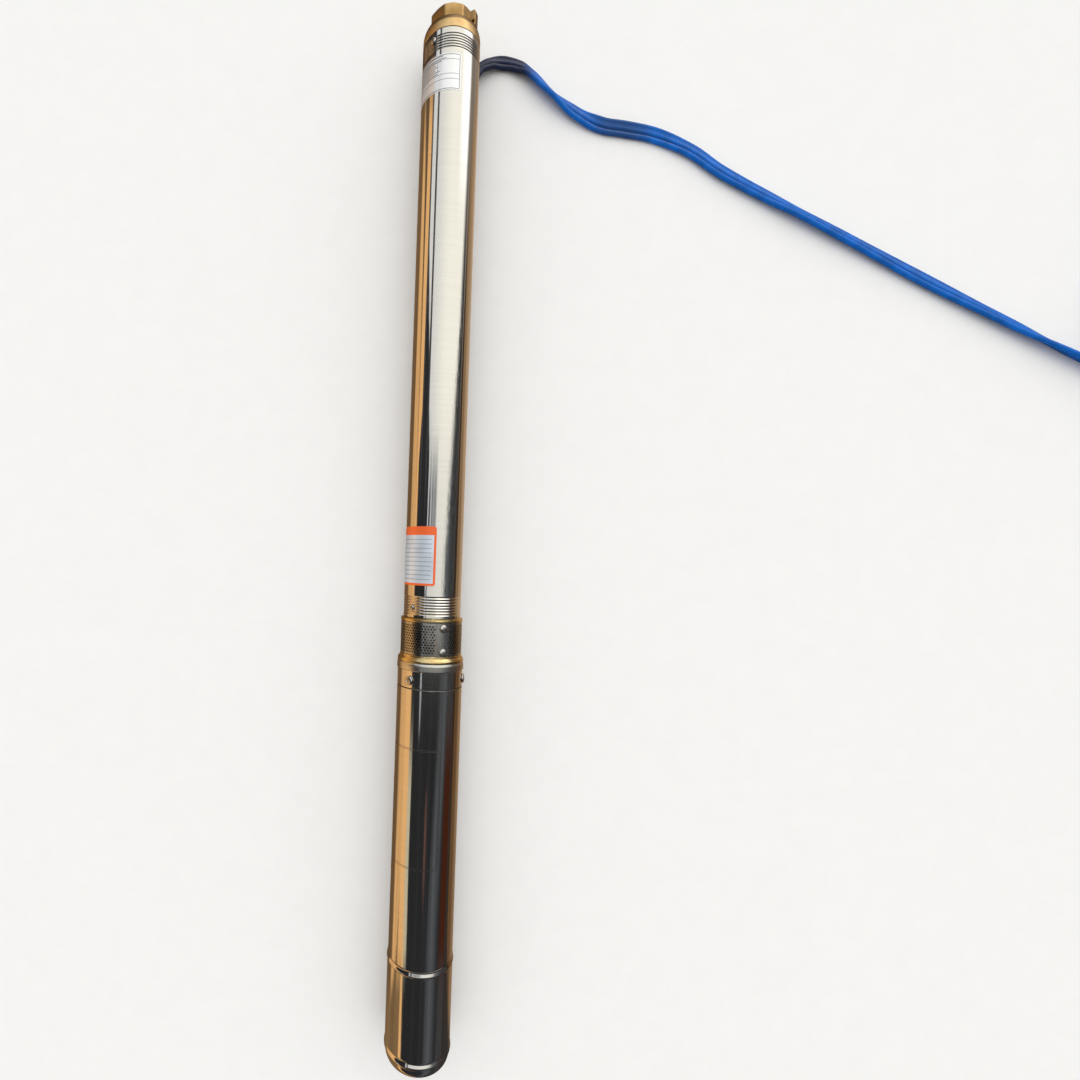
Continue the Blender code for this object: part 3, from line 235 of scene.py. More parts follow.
# Screws: node, radius and rise of the head, and the reach of its recess
SCREWS = (
    ("motor_screw_1", 0.0053, 0.0024, 0.0031),
    ("motor_screw_2", 0.0053, 0.0024, 0.0031),
    ("motor_screw_3", 0.0053, 0.0024, 0.0031),
    ("strainer_screw_1", 0.0045, 0.0022, 0.0025),
    ("strainer_screw_2", 0.0045, 0.0022, 0.0025),
    ("lock_screw_lower", 0.0037, 0.0020, 0.0021),
    ("guard_screw_lower", 0.0031, 0.0017, 0.0018),
    ("lock_screw_upper", 0.0037, 0.0020, 0.0021),
    ("guard_screw_upper", 0.0031, 0.0017, 0.0018),
)

# How dark the machining lines of the polished tubes are, against the bare steel
POLISHED_SHADE = 0.95


def length(name, description, default):
    """A length as a property of the scene."""
    return FloatProperty(name=name, description=description, default=default, unit="LENGTH")


def colour(name, description, default):
    """A colour as a property of the scene, in linear light."""
    return FloatVectorProperty(name=name, description=description, default=default, subtype="COLOR")


class PumpSizes(bpy.types.PropertyGroup):
    """Sizes of the visible pieces that a user would change."""

    cable_length: length("Cable length", "Free length of the flat cable", 2.5)
    cable_width: length("Cable width", "Width of the flat cable", 0.018)
    cable_thickness: length("Cable thickness", "Thickness of the flat cable over its lobes", 0.006)
    coil_radius: length("Coil radius", "Radius of the coil's outermost turn at the cable's middle", 0.1038)
    coil_pitch: length("Coil pitch", "Spacing of the coil's turns", 0.0065)
    groove_depth: length("Groove depth", "Depth of the rolled grooves in the barrel", 0.0007)
    hole_size: length("Strainer hole", "Diameter of a strainer hole", 0.0023)
    holes_round: IntProperty(name="Holes round", description="Strainer holes in one row", default=66)


class PumpColours(bpy.types.PropertyGroup):
    """Base colours of the finishes."""

    steel: colour("Steel", "Polished stainless steel", (0.66, 0.645, 0.62))
    brass: colour("Brass", "Machined and cast brass", (0.64, 0.44, 0.20))
    strainer: colour("Strainer", "Darkened strainer sheet", (0.46, 0.455, 0.44))
    sheath: colour("Sheath", "Sheath of the flat cable", (0.0, 0.135, 0.58))
    sticker: colour("Sticker border", "Border of the lower sticker", (0.80, 0.125, 0.022))
    panel: colour("Label panel", "Panel of the stickers", (0.66, 0.73, 0.82))


class StudioSettings(bpy.types.PropertyGroup):
    """The camera and the studio round the pump."""

    camera_place: FloatVectorProperty(
        name="Camera place",
        description="Where the camera stands",
        default=(-0.0333, 0.5809, 0.639),
        subtype="TRANSLATION",
    )
    camera_turn: FloatProperty(
        name="Camera turn",
        description="Turn of the camera about the vertical",
        default=math.radians(2.0),
        subtype="ANGLE",
    )
    lens: FloatProperty(name="Lens", description="Focal length on a 36 mm sensor", default=18.0)
    shift: FloatVectorProperty(
        name="Shift", description="Sideways and upward shift of the lens", size=2, default=(0.12444, 0.0185)
    )
    floor_tone: colour("Floor tone", "The pale floor", (0.86, 0.86, 0.86))


# Places on the pump

def around(degrees, radius, height):
    """The point at this angle, radius and height on the pump."""
    turn = math.radians(degrees)
    return Vector((radius * math.sin(turn), height, radius * math.cos(turn)))


def outward(degrees, radius, height):
    """The frame whose Z points away from the axis at this angle, radius and height, with Y along the pump."""
    spot = Matrix.Translation(around(degrees, radius, height))
    return spot @ Matrix.Rotation(math.radians(degrees), 4, "Y")


def circle(radius, count, level=0.0):
    """Points round the Z axis at one level, or a single one on it where the radius is nothing."""
    turns = [math.tau * step / count for step in range(count if radius else 1)]
    return [Vector((radius * math.cos(turn), radius * math.sin(turn), level)) for turn in turns]


def quarter(steps, first=0):
    """The cosines and sines over a quarter turn, in equal steps."""
    turns = [math.pi / 2 * step / steps for step in range(first, steps + 1)]
    return [(math.cos(turn), math.sin(turn)) for turn in turns]


def seat_of(node):
    """Angle, height and the radial reach of a node that points away from the axis."""
    box_low, box_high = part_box(node)
    middle = (box_low + box_high) / 2
    degrees = math.degrees(math.atan2(middle.x, middle.z))
    ray = around(degrees, 1.0, 0.0)
    reach = max(vertex.co.dot(ray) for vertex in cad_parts[node].data.vertices)
    return degrees, middle.y, reach


# Meshes

def piece(name, mesh, material, body=PUMP, slot=None, sharp=32.0):
    """A finished object from a mesh: smooth with crisp edges, with its material, riding on a body."""
    mesh.shade_smooth()
    mesh.set_sharp_from_angle(angle=math.radians(sharp))
    mesh.materials.append(material)
    made = bpy.data.objects.new(name, mesh)
    bpy.context.scene.collection.objects.link(made)
    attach(made, body)
    return made


def mesh_of(name, shape):
    """A mesh from a bmesh, which is freed."""
    mesh = bpy.data.meshes.new(name)
    shape.to_mesh(mesh)
    shape.free()
    return mesh


def skin(name, rings, join_ends=False, capped=False):
    """A mesh over closed rings of points. A ring of one point is a pole."""
    shape = bmesh.new()
    rows = [[shape.verts.new(point) for point in ring] for ring in rings]
    pairs = list(zip(rows, rows[1:]))
    if join_ends:
        pairs.append((rows[-1], rows[0]))
    for first, second in pairs:
        count = max(len(first), len(second))
        for index in range(count):
            after = (index + 1) % count
            corners = []
            for row, place in ((first, index), (first, after), (second, after), (second, index)):
                vertex = row[place if len(row) > 1 else 0]
                if vertex not in corners:
                    corners.append(vertex)
            if len(corners) > 2:
                shape.faces.new(corners)
    if capped:
        bmesh.ops.recalc_face_normals(shape, faces=shape.faces)
        bmesh.ops.holes_fill(shape, edges=[edge for edge in shape.edges if edge.is_boundary])
    bmesh.ops.recalc_face_normals(shape, faces=shape.faces)
    return mesh_of(name, shape)


def softened(profile, radius=SOFT_EDGE, steps=3):
    """The closed profile with each sharp corner turned into a small arc."""
    count = len(profile)
    made = []
    for index in range(count):
        corner = Vector(profile[index])
        back = Vector(profile[index - 1]) - corner
        ahead = Vector(profile[(index + 1) % count]) - corner
        if back.length < 1e-9 or ahead.length < 1e-9 or back.angle(ahead) > math.radians(155):
            made.append(tuple(corner))
            continue
        cut = min(radius, back.length * 0.45, ahead.length * 0.45)
        start = corner + back.normalized() * cut
        end = corner + ahead.normalized() * cut
        for step in range(steps + 1):
            share = step / steps
            curve = start.lerp(corner, share).lerp(corner.lerp(end, share), share)
            made.append(tuple(curve))
    return made


def turned(name, profile, sides=SIDES, start=0.0, end=360.0):
    """A turned mesh from (radius, height) points, over the whole circle or from one angle to another."""
    whole = end - start >= 360.0
    profile = supported(profile)
    rings = []
    for column in range(sides if whole else sides + 1):
        degrees = start + (end - start) * column / sides
        rings.append([around(degrees, radius, height) for radius, height in profile])
    return skin(name, rings, join_ends=whole, capped=not whole)


def supported(profile, long=0.004, near=0.0003):
    """The closed profile with points just inside both ends of each long run, to keep its shading flat."""
    made = []
    for index, point in enumerate(profile):
        made.append(point)
        first = Vector(point)
        second = Vector(profile[(index + 1) % len(profile)])
        run = second - first
        if run.length > long:
            made += [tuple(first + run.normalized() * near), tuple(second - run.normalized() * near)]
    return made


def bead(radius, crown, foot, width):
    """Points over a rolled bead: a short rise from the tube, a round crown and a flank down to a valley."""
    steps = zip(BEAD_SHARES, BEAD_LIFTS)
    return [(radius + (crown - radius) * lift, foot + width * share) for share, lift in steps]


def joined(name, *meshes):
    """One mesh from several."""
    shape = bmesh.new()
    for mesh in meshes:
        shape.from_mesh(mesh)
        bpy.data.meshes.remove(mesh)
    return mesh_of(name, shape)


def shown(name, mesh, material, node, slot, sharp=32.0):
    """A piece that takes the place of a node."""
    made = piece(name, mesh, material, slot=slot, sharp=sharp)
    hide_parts(node)
    return made


# Nodes for materials

class Wire:
    """A node's output, summed with numbers and other outputs as a number is: each sum is a Math node."""

    def __init__(self, socket):
        self.socket = socket
        self.tree = socket.id_data

    def __add__(self, other):
        return calc("ADD", self, other)

    def __sub__(self, other):
        return calc("SUBTRACT", self, other)

    def __rsub__(self, other):
        return calc("SUBTRACT", other, self)

    def __mul__(self, other):
        return calc("MULTIPLY", self, other)

    def __or__(self, other):
        return calc("MAXIMUM", self, other)

    def __abs__(self):
        return calc("ABSOLUTE", self)


def plug(socket, value):
    """Links a wire to a socket, or sets the socket's own value."""
    if isinstance(value, Wire):
        socket.id_data.links.new(value.socket, socket)
    else:
        socket.default_value = value


def put(tree, kind, values=None, output=0, **settings):
    """An output of a new node with these settings and input values."""
    made = tree.nodes.new(kind)
    for key, value in settings.items():
        setattr(made, key, value)
    for key, value in (values or {}).items():
        plug(made.inputs[key], value)
    return Wire(made.outputs[output])


def tree_of(*values):
    """The node tree that holds the first wire among some values."""
    return next(value.tree for value in values if isinstance(value, Wire))


def calc(operation, first, second=0.0, clamp=False):
    """The result of one sum on wires or numbers."""
    tree = tree_of(first, second)
    return put(tree, "ShaderNodeMath", {0: first, 1: second}, operation=operation, use_clamp=clamp)


def between(value, start, end, to_start=0.0, to_end=1.0, smooth=True):
    """A value carried from one range to another, clamped."""
    ranges = {"From Min": start, "From Max": end, "To Min": to_start, "To Max": to_end}
    kind = "SMOOTHSTEP" if smooth else "LINEAR"
    return put(value.tree, "ShaderNodeMapRange", {"Value": value, **ranges}, interpolation_type=kind)


def span(value, foot, above_foot, below_top, top):
    """A mask that is full between two heights of a value and fades out at both ends."""
    return between(value, foot, above_foot) * between(value, top, below_top)


def opaque(colour):
    """A wire as it is, or a colour with its alpha."""
    return colour if isinstance(colour, Wire) else (*colour[:3], 1.0)


def scaled(colour, *shares):
    """A colour with its channels multiplied by one share or by three."""
    return tuple(channel * share for channel, share in zip(colour, shares * 3))


def blended(share, first, second, kind="MIX"):
    """Two colours mixed by a share."""
    values = {0: share, 6: opaque(first), 7: opaque(second)}
    tree = tree_of(share, first, second)
    return put(tree, "ShaderNodeMix", values, 2, data_type="RGBA", blend_type=kind)


def any_of(*masks):
    """The strongest of some masks."""
    return functools.reduce(lambda one, other: one | other, masks)


def coordinates_in(tree, kind="Object"):
    """The object's own coordinates, or another kind of them."""
    return put(tree, "ShaderNodeTexCoord", output=kind)


def axes(vector):
    """The three parts of a vector."""
    made = put(vector.tree, "ShaderNodeSeparateXYZ", {0: vector})
    return [Wire(output) for output in made.socket.node.outputs]


def noise(vector, scale, detail, **more):
    """Noise on a vector, with further input values by name."""
    values = {"Vector": vector, "Scale": scale, "Detail": detail}
    values.update((titled(key), value) for key, value in more.items())
    return put(vector.tree, "ShaderNodeTexNoise", values)


def stretched_noise(tree, across, along, detail=3.0, shift=0.0):
    """Noise on the object's own coordinates with one scale across the pump and one along it."""
    scale = put(tree, "ShaderNodeCombineXYZ", {"X": across, "Y": along, "Z": across})
    values = {"Vector": coordinates_in(tree), "Scale": scale, "Location": (shift,) * 3}
    return noise(put(tree, "ShaderNodeMapping", values), 1.0, detail, roughness=0.6)


def titled(key):
    """The name of a socket, written with spaces and capitals."""
    return key.replace("_", " ").title().replace("Ior", "IOR")


def shared(tree, make, **values):
    """The outputs of a shared group, with its own input values. The group is made on its first use."""
    group = bpy.data.node_groups.get(make.__name__)
    if group is None:
        group = bpy.data.node_groups.new(make.__name__, "ShaderNodeTree")
        source = group.nodes.new("NodeGroupInput")
        result = group.nodes.new("NodeGroupOutput")
        wires = []
        for key, parameter in list(inspect.signature(make).parameters.items())[1:]:
            socket = group.interface.new_socket(titled(key), in_out="INPUT", socket_type="NodeSocketFloat")
            socket.default_value = parameter.default
            wires.append(Wire(source.outputs[titled(key)]))
        for label, wire in make(group, *wires).items():
            group.interface.new_socket(label, in_out="OUTPUT", socket_type="NodeSocketFloat")
            plug(result.inputs[label], wire)
    made = tree.nodes.new("ShaderNodeGroup")
    made.node_tree = group
    for key, value in values.items():
        made.inputs[titled(key)].default_value = value
    return {output.name: Wire(output) for output in made.outputs}


def machined_lines(tree, lines_per_metre=1400.0, spread_round=6.0):
    """Fine machining lines that run round the pump: a streak mask and a height."""
    fine = stretched_noise(tree, spread_round, lines_per_metre)
    coarse = stretched_noise(tree, spread_round, lines_per_metre * 0.17, 2.0, 3.7)
    height = fine * 0.6 + coarse * 0.4
    return {"Streaks": between(height, 0.36, 0.64), "Height": height}


def handling_marks(tree, scratch_density=1.0, smudge_scale=9.0):
    """Handling marks: thin scratches at two angles and soft smudges."""
    coordinates = coordinates_in(tree)
    marks = []
    for turn, along, shift in ((14.0, 30.0, (0.0, 0.0, 0.0)), (-32.0, 38.0, (5.3, 2.1, 0.0))):
        values = {
            "Vector": coordinates,
            "Rotation": (0.0, 0.0, math.radians(turn)),
            "Scale": (900.0, along, 900.0),
            "Location": shift,
        }
        marks.append(between(noise(put(tree, "ShaderNodeMapping", values), 1.0, 1.0), 0.72, 0.80))
    patches = between(noise(coordinates, 22.0, 2.0), 0.45, 0.62)
    smudges = noise(coordinates, smudge_scale, 4.0, distortion=0.6)
    return {
        "Scratches": any_of(*marks) * patches * scratch_density,
        "Smudges": between(smudges, 0.42, 0.70),
    }


def cast_skin(tree, grain_scale=1500.0):
    """The skin of a casting or a moulding: a fine grain and broad tone changes."""
    coordinates = coordinates_in(tree)
    grain = noise(coordinates, grain_scale, 3.0, roughness=0.7)
    return {"Grain": grain, "Tone": between(noise(coordinates, 60.0, 3.0), 0.3, 0.7)}


def rubbed_edges(tree, reach=0.04):
    """Edges rubbed bright, and creases darkened as painted shade, from how sharply the surface turns."""
    turn = put(tree, "ShaderNodeNewGeometry", output="Pointiness")
    return {
        "Edge": calc("DIVIDE", turn - 0.505, reach, True),
        "Crease": calc("DIVIDE", 0.495 - turn, reach, True),
    }


def plate_layout(
    tree, radius=0.03, middle_angle=0.0, middle_height=0.0, half_width=0.01, half_height=0.01, corner=0.002
):
    """How far a point on the tube lies inside a rounded frame, and its place across it and up it."""
    x, y, z = axes(coordinates_in(tree))
    across = (calc("ARCTAN2", x, z) - middle_angle) * radius
    up = y - middle_height
    wide, tall = abs(across) - half_width + corner, abs(up) - half_height + corner
    past = [wide | 0.0, tall | 0.0]
    length = calc("SQRT", past[0] * past[0] + past[1] * past[1])
    inside = calc("MINIMUM", wide | tall, 0.0)
    return {"Inset": corner - (length + inside), "Across": across, "Up": up}


def fresh_material(name, **sockets):
    """A new material, its tree and its Principled shader with plain socket values."""
    made = bpy.data.materials.new(name)
    made.use_nodes = True
    shader = made.node_tree.nodes["Principled BSDF"]
    feed(shader, **sockets)
    return made, made.node_tree, shader


def feed(shader, **values):
    """Sets or links inputs of a shader by name."""
    for key, value in values.items():
        plug(shader.inputs[titled(key)], value)


def fed(material, name):
    """The shader of a finished material and what feeds one of its inputs."""
    shader = material.node_tree.nodes["Principled BSDF"]
    return shader, Wire(shader.inputs[name].links[0].from_socket)


def bump(height, distance, normal=None):
    """A normal from a height, on top of another normal if given."""
    values = {"Height": height, "Distance": distance, "Strength": 1.0}
    if normal:
        values["Normal"] = normal
    return put(height.tree, "ShaderNodeBump", values)


def once(make):
    """The material of this name if it is there, or else a new one."""

    def kept(name, *rest, **values):
        return bpy.data.materials.get(name) or make(name, *rest, **values)

    return kept


@once
def steel(name, colour, roughness, lines, line_depth, dents=0.0, spread=6.0, scratches=1.0, shade=0.80):
    """Stainless steel with machining lines, handling marks and, on tubes, slight dents in the gloss."""
    made, tree, shader = fresh_material(name, metallic=1.0)
    machined = shared(tree, machined_lines, lines_per_metre=lines, spread_round=spread)
    marks = shared(tree, handling_marks, scratch_density=scratches, smudge_scale=11.0)
    tone = blended(machined["Streaks"], scaled(colour, shade), colour)
    tone = blended(marks["Scratches"] * 0.5, tone, (0.9, 0.9, 0.88))
    rough = between(machined["Streaks"], 0.0, 1.0, roughness * 1.25, roughness * 0.8, False)
    rough = rough + marks["Smudges"] * 0.05 + marks["Scratches"] * 0.15
    dented = bump(stretched_noise(tree, 7.0, 16.0, 2.0, 1.3), dents) if dents else None
    feed(shader, base_color=tone, roughness=rough, normal=bump(machined["Height"], line_depth, dented))
    return made


@once
def brass(name, colour, roughness, grain_depth, lines=0.0):
    """Brass: a blasted casting, or turned with lines, with painted shade in creases and brighter on edges."""
    made, tree, shader = fresh_material(name, metallic=1.0)
    grain = shared(tree, cast_skin, grain_scale=1300.0)
    edges = shared(tree, rubbed_edges, reach=0.05)
    marks = shared(tree, handling_marks, scratch_density=0.8, smudge_scale=24.0)
    light = tuple(min(1.0, channel) for channel in scaled(colour, 1.25, 1.3, 1.5))
    tone = blended(grain["Tone"], scaled(colour, 0.66, 0.60, 0.52), colour)
    tone = blended(grain["Grain"] * 0.35, tone, light)
    tone = blended(edges["Edge"] * 0.7, tone, light)
    # Painted shade in the creases
    tone = blended(edges["Crease"] * 0.8, tone, (0.10, 0.055, 0.02))
    rough = between(grain["Tone"], 0.0, 1.0, roughness * 1.2, roughness * 0.85, False)
    height = grain["Grain"]
    if lines:
        height = shared(tree, machined_lines, lines_per_metre=lines, spread_round=5.0)["Height"]
    feed(shader, base_color=tone, roughness=rough + marks["Smudges"] * 0.08, normal=bump(height, grain_depth))
    return made


@once
def plastic(name, colour, roughness, grain_depth=0.00002, streak=0.25):
    """Moulded or extruded plastic with a soft change of tone, a fine grain and scuffs."""
    made, tree, shader = fresh_material(name, specular_ior_level=0.5)
    grain = shared(tree, cast_skin, grain_scale=1800.0)
    marks = shared(tree, handling_marks, scratch_density=0.8, smudge_scale=16.0)
    tone = blended(grain["Tone"], scaled(colour, 1.0 - streak), colour)
    tone = blended(marks["Scratches"] * 0.5, tone, tuple(channel * 0.8 + 0.05 for channel in colour))
    rough = between(marks["Smudges"], 0.0, 1.0, roughness * 0.85, roughness * 1.2, False)
    feed(shader, base_color=tone, roughness=rough, normal=bump(grain["Grain"], grain_depth))
    return made


@once
def striped(name, colour, other, metallic, roughness, stripes, axis="Y"):
    """A finish with fine stripes along one axis, as stacked sheets or wound wire have."""
    made, tree, shader = fresh_material(name, metallic=metallic)
    values = {"Vector": coordinates_in(tree), "Scale": stripes, "Distortion": 1.2, "Detail": 1.0}
    wave = put(tree, "ShaderNodeTexWave", values, "Fac", bands_direction=axis)
    rough = between(wave, 0.0, 1.0, roughness * 1.2, roughness * 0.8, False)
    tone = blended(between(wave, 0.3, 0.7), other, colour)
    feed(shader, base_color=tone, roughness=rough, normal=bump(wave, 0.00015))
    return made


# Finishes of this pump

def colours():
    """The base colours, as the scene holds them."""
    return bpy.context.scene.pump_colours


def tube_steel():
    """The polished barrel: mirror gloss with faint lines and dents, and a painted dark reflection at the left
    of its grooves.
    """
    made = steel(
        "polished_tube", tuple(colours().steel), 0.055, 1500.0, 0.0000010, 0.00022, 5.0, 0.8, POLISHED_SHADE
    )
    # Painted dark reflection: the groove zone is multiplied darker on the barrel's left side only
    layer = (upper_groove_foot() - 0.004, BARREL_TOP + 0.001, 0.0015, 1.0, (0.36, 0.38, 0.48), "MULTIPLY")
    return painted_over(made, layer, left_only=True)


def motor_steel(name="turned_motor_steel", roughness=0.07):
    """The motor tubes: polished, with plainer turning lines."""
    return steel(
        name, tuple(colours().steel), roughness, 1100.0, 0.0000020, 0.0002, 4.0, 1.0, POLISHED_SHADE
    )


def dark_steel():
    """The strainer's darkened sheet."""
    return steel("strainer_sheet", tuple(colours().strainer), 0.20, 900.0, 0.000003, 0.0003, 90.0, 0.6)


def turned_brass(name="turned_brass"):
    """Brass turned bright, with fine lines."""
    return brass(name, (0.70, 0.55, 0.27), 0.22, 0.000005, 2200.0)


def painted_over(made, *layers, left_only=False):
    """The material with layers over its base colour: each a mask of the height, a colour and a way to mix."""
    shader, tone = fed(made, "Base Color")
    x, height, _ = axes(coordinates_in(made.node_tree))
    for foot, top, soft, share, colour, kind in layers:
        band = span(height, foot - soft, foot + soft, top - soft, top + soft)
        # Only on the left side, for the painted dark reflection at the barrel's grooves
        if left_only:
            band = band * between(x, *TINT_EDGE)
        tone = blended(band * share, tone, colour, kind)
    feed(shader, base_color=tone)
    return made


def outlet_brass():
    """The outlet's casting: duller on the octagon, with painted shade in the neck under it."""
    foot = OUTLET_FACE - OCTAGON_HEIGHT
    return painted_over(
        brass("blasted_brass", tuple(colours().brass), 0.38, 0.00006),
        (foot + 0.0005, OUTLET_FACE + 0.001, 0.0004, 1.0, (0.74, 0.70, 0.64), "MULTIPLY"),
        # Painted shade: the neck under the octagon is painted dark brown
        (foot - 0.0078, foot + 0.0002, 0.0012, 0.88, (0.13, 0.074, 0.032), "MIX"),
    )


def inlet_brass():
    """The inlet's casting: turned bright, with painted shade behind the strainer."""
    # Painted shade: the brass behind the strainer's holes is painted nearly black
    layer = (STRAINER_FOOT, STRAINER_TOP, 0.0002, 0.95, (0.045, 0.034, 0.022), "MIX")
    return painted_over(turned_brass("inlet_brass"), layer)


@once
def blue_sheath(name):
    """The cable's sheath, with painted shadow where it leaves the pump and painted shade in one stretch and
    in its valleys.
    """
    made = plastic(name, tuple(colours().sheath), 0.42, 0.00001, 0.3)
    shader, tone = fed(made, "Base Color")
    edges = shared(made.node_tree, rubbed_edges, reach=0.05)
    x = axes(coordinates_in(made.node_tree))[0]
    # Painted shade: the valleys between the lobes are darkened
    tone = blended(edges["Crease"] * 0.9, tone, (0.0, 0.010, 0.05))
    # Painted shadow: darker navy where the cable leaves the pump, under the pump's shadow
    tone = blended(between(x, 0.112, 0.088, 0.0, 0.94), tone, (0.012, 0.014, 0.028))
    # Painted shade: one stretch of the cable is painted darker for its shaded side
    soiled = between(x, 0.172, 0.200, 0.0, 0.78) * between(x, 0.262, 0.228)
    feed(shader, base_color=blended(soiled, tone, (0.018, 0.060, 0.19)), specular_ior_level=0.22)
    return made


# Camera and cable

class PUMP_OT_camera(bpy.types.Operator):
    """Stand the camera straight above the pump"""

    bl_idname = "pump.camera"
    bl_label = "Camera"

    def execute(self, context):
        studio = context.scene.pump_studio
        lens = bpy.data.cameras.new("overhead_camera")
        lens.lens = studio.lens
        lens.sensor_width = 36.0
        lens.shift_x = studio.shift[0]
        lens.shift_y = studio.shift[1]
        lens.clip_start = 0.01
        lens.clip_end = 100.0
        camera = bpy.data.objects.new("overhead_camera", lens)
        camera.location = studio.camera_place
        camera.rotation_euler = (0.0, 0.0, studio.camera_turn)
        context.scene.collection.objects.link(camera)
        context.scene.camera = camera
        return {"FINISHED"}


def cable_section(width, thickness, steps=60):
    """The flat cable's outline, across and through: round lobes with shallow valleys between."""
    lobe = thickness / 2
    spacing = (width - thickness) / (LOBES - 1)
    upper = []
    for step in range(steps + 1):
        across = width / 2 * -math.cos(math.pi * step / steps)
        reach = 0.0
        for number in range(LOBES):
            off = across - (number - (LOBES - 1) / 2) * spacing
            if abs(off) < lobe:
                reach = max(reach, math.sqrt(lobe * lobe - off * off))
        if abs(across) < width / 2 - lobe:
            reach = max(reach, lobe * (DEEP_VALLEY if across > 0 else SHALLOW_VALLEY))
        upper.append((across, reach))
    return upper + [(across, -reach) for across, reach in upper[-2:0:-1]]


def half_height(roll, width, thickness):
    """How high the cable's middle stands over the floor when its flat side is rolled by this angle."""
    return abs(math.sin(math.radians(roll))) * (width - thickness) / 2 + thickness / 2


def cable_line(sizes):
    """The free cable's middle line and the roll at each point, from its exit to its bare end."""
    width = sizes.cable_width
    thickness = sizes.cable_thickness
    knots = [(Vector(CABLE_EXIT), CABLE_EXIT_ROLL)]
    for x, y, z, roll in CABLE_ROUTE:
        lying = FLOOR + half_height(roll, width, thickness) + CLEARANCE
        height = lying if z <= ROUTE_FLOOR_LEVEL else max(z, lying)
        knots.append((Vector((x, y, height)), roll))
    centre = Vector(COIL_CENTRE)
    radius = sizes.coil_radius
    coil_height = coil_level(sizes)
    start = knots[-1][0]
    across = centre - start.to_2d()
    turn_in = math.asin(radius / across.length)
    heading = Matrix.Rotation(-turn_in, 2) @ across.normalized()
    run_in = across.length * math.cos(turn_in)
    touch = start.to_2d() + heading * run_in
    begin = math.atan2(touch.y - centre.y, touch.x - centre.x)
    knots.append((Vector((*(start.to_2d() + heading * run_in * 0.5), coil_height)), COIL_ROLL - 4.0))
    step = math.tau / COIL_STEPS
    knots += [(coil_point(sizes, begin, step * number), COIL_ROLL) for number in range(3)]
    points, rolls = smooth_line(knots)
    lead = len(points) - ROUTE_STEPS * 2
    points, rolls = points[:lead], rolls[:lead]
    travelled = sum((b - a).length for a, b in zip(points, points[1:]))
    angle = 0.0
    while travelled < sizes.cable_length:
        angle += step
        points.append(coil_point(sizes, begin, angle))
        rolls.append(COIL_ROLL)
        travelled += (points[-1] - points[-2]).length
    return points, rolls, lead


def coil_level(sizes):
    """The height of the cable's middle where it stands on edge in the coil."""
    return FLOOR + half_height(COIL_ROLL, sizes.cable_width, sizes.cable_thickness) + COIL_LIFT


def polar(turn, reach, height):
    """The point this far from the coil's middle at this angle."""
    return Vector((COIL_CENTRE[0] + reach * math.cos(turn), COIL_CENTRE[1] + reach * math.sin(turn), height))


def coil_point(sizes, begin, turn):
    """A point of the coil this far round from where the cable meets it, in radians."""
    reach = sizes.coil_radius - sizes.coil_pitch * turn / math.tau
    return polar(begin + turn, reach, coil_level(sizes))


def smooth_line(knots):
    """Points and rolls along a Catmull-Rom curve through the knots."""
    first = (knots[0][0] * 2 - knots[1][0], knots[0][1])
    last = (knots[-1][0] * 2 - knots[-2][0], knots[-1][1])
    padded = [first, *knots, last]
    points = []
    rolls = []
    for (p0, _), (p1, r1), (p2, r2), (p3, _) in zip(padded, padded[1:], padded[2:], padded[3:]):
        for step in range(ROUTE_STEPS):
            t = step / ROUTE_STEPS
            even = p1 * 2 + (p0 * 2 - p1 * 5 + p2 * 4 - p3) * t**2
            odd = (p2 - p0) * t + (p1 * 3 - p0 - p2 * 3 + p3) * t**3
            points.append((even + odd) / 2)
            rolls.append(r1 + (r2 - r1) * t * t * (3 - 2 * t))
    points.append(knots[-1][0].copy())
    rolls.append(knots[-1][1])
    return points, rolls


def section_frames(points, rolls):
    """At each point of a line: the point, the direction across the flat side and the one through it."""
    frames = []
    for index, (point, roll) in enumerate(zip(points, rolls)):
        ahead = points[min(index + 1, len(points) - 1)]
        behind = points[max(index - 1, 0)]
        along = (ahead - behind).normalized()
        across = along.cross(Vector((0.0, 0.0, 1.0))).normalized()
        through = across.cross(along)
        cosine, sine = math.cos(math.radians(roll)), math.sin(math.radians(roll))
        frames.append((point, across * cosine + through * sine, through * cosine - across * sine))
    return frames


def swept(name, frames, section):
    """A closed mesh with this section along the frames."""
    rings = [[point + across * a + through * t for a, t in section] for point, across, through in frames]
    return skin(name, [[frames[0][0]], *rings, [frames[-1][0]]])


def wire(name, line, radius, material, slot, end=None):
    """A round conductor along a line, whose last points can be left off."""
    frames = section_frames(line, [0.0] * len(line))[:end]
    section = [(point.x, point.y) for point in circle(radius, 12)]
    return piece(name, swept(name, frames, section), material, slot=slot, sharp=60.0)


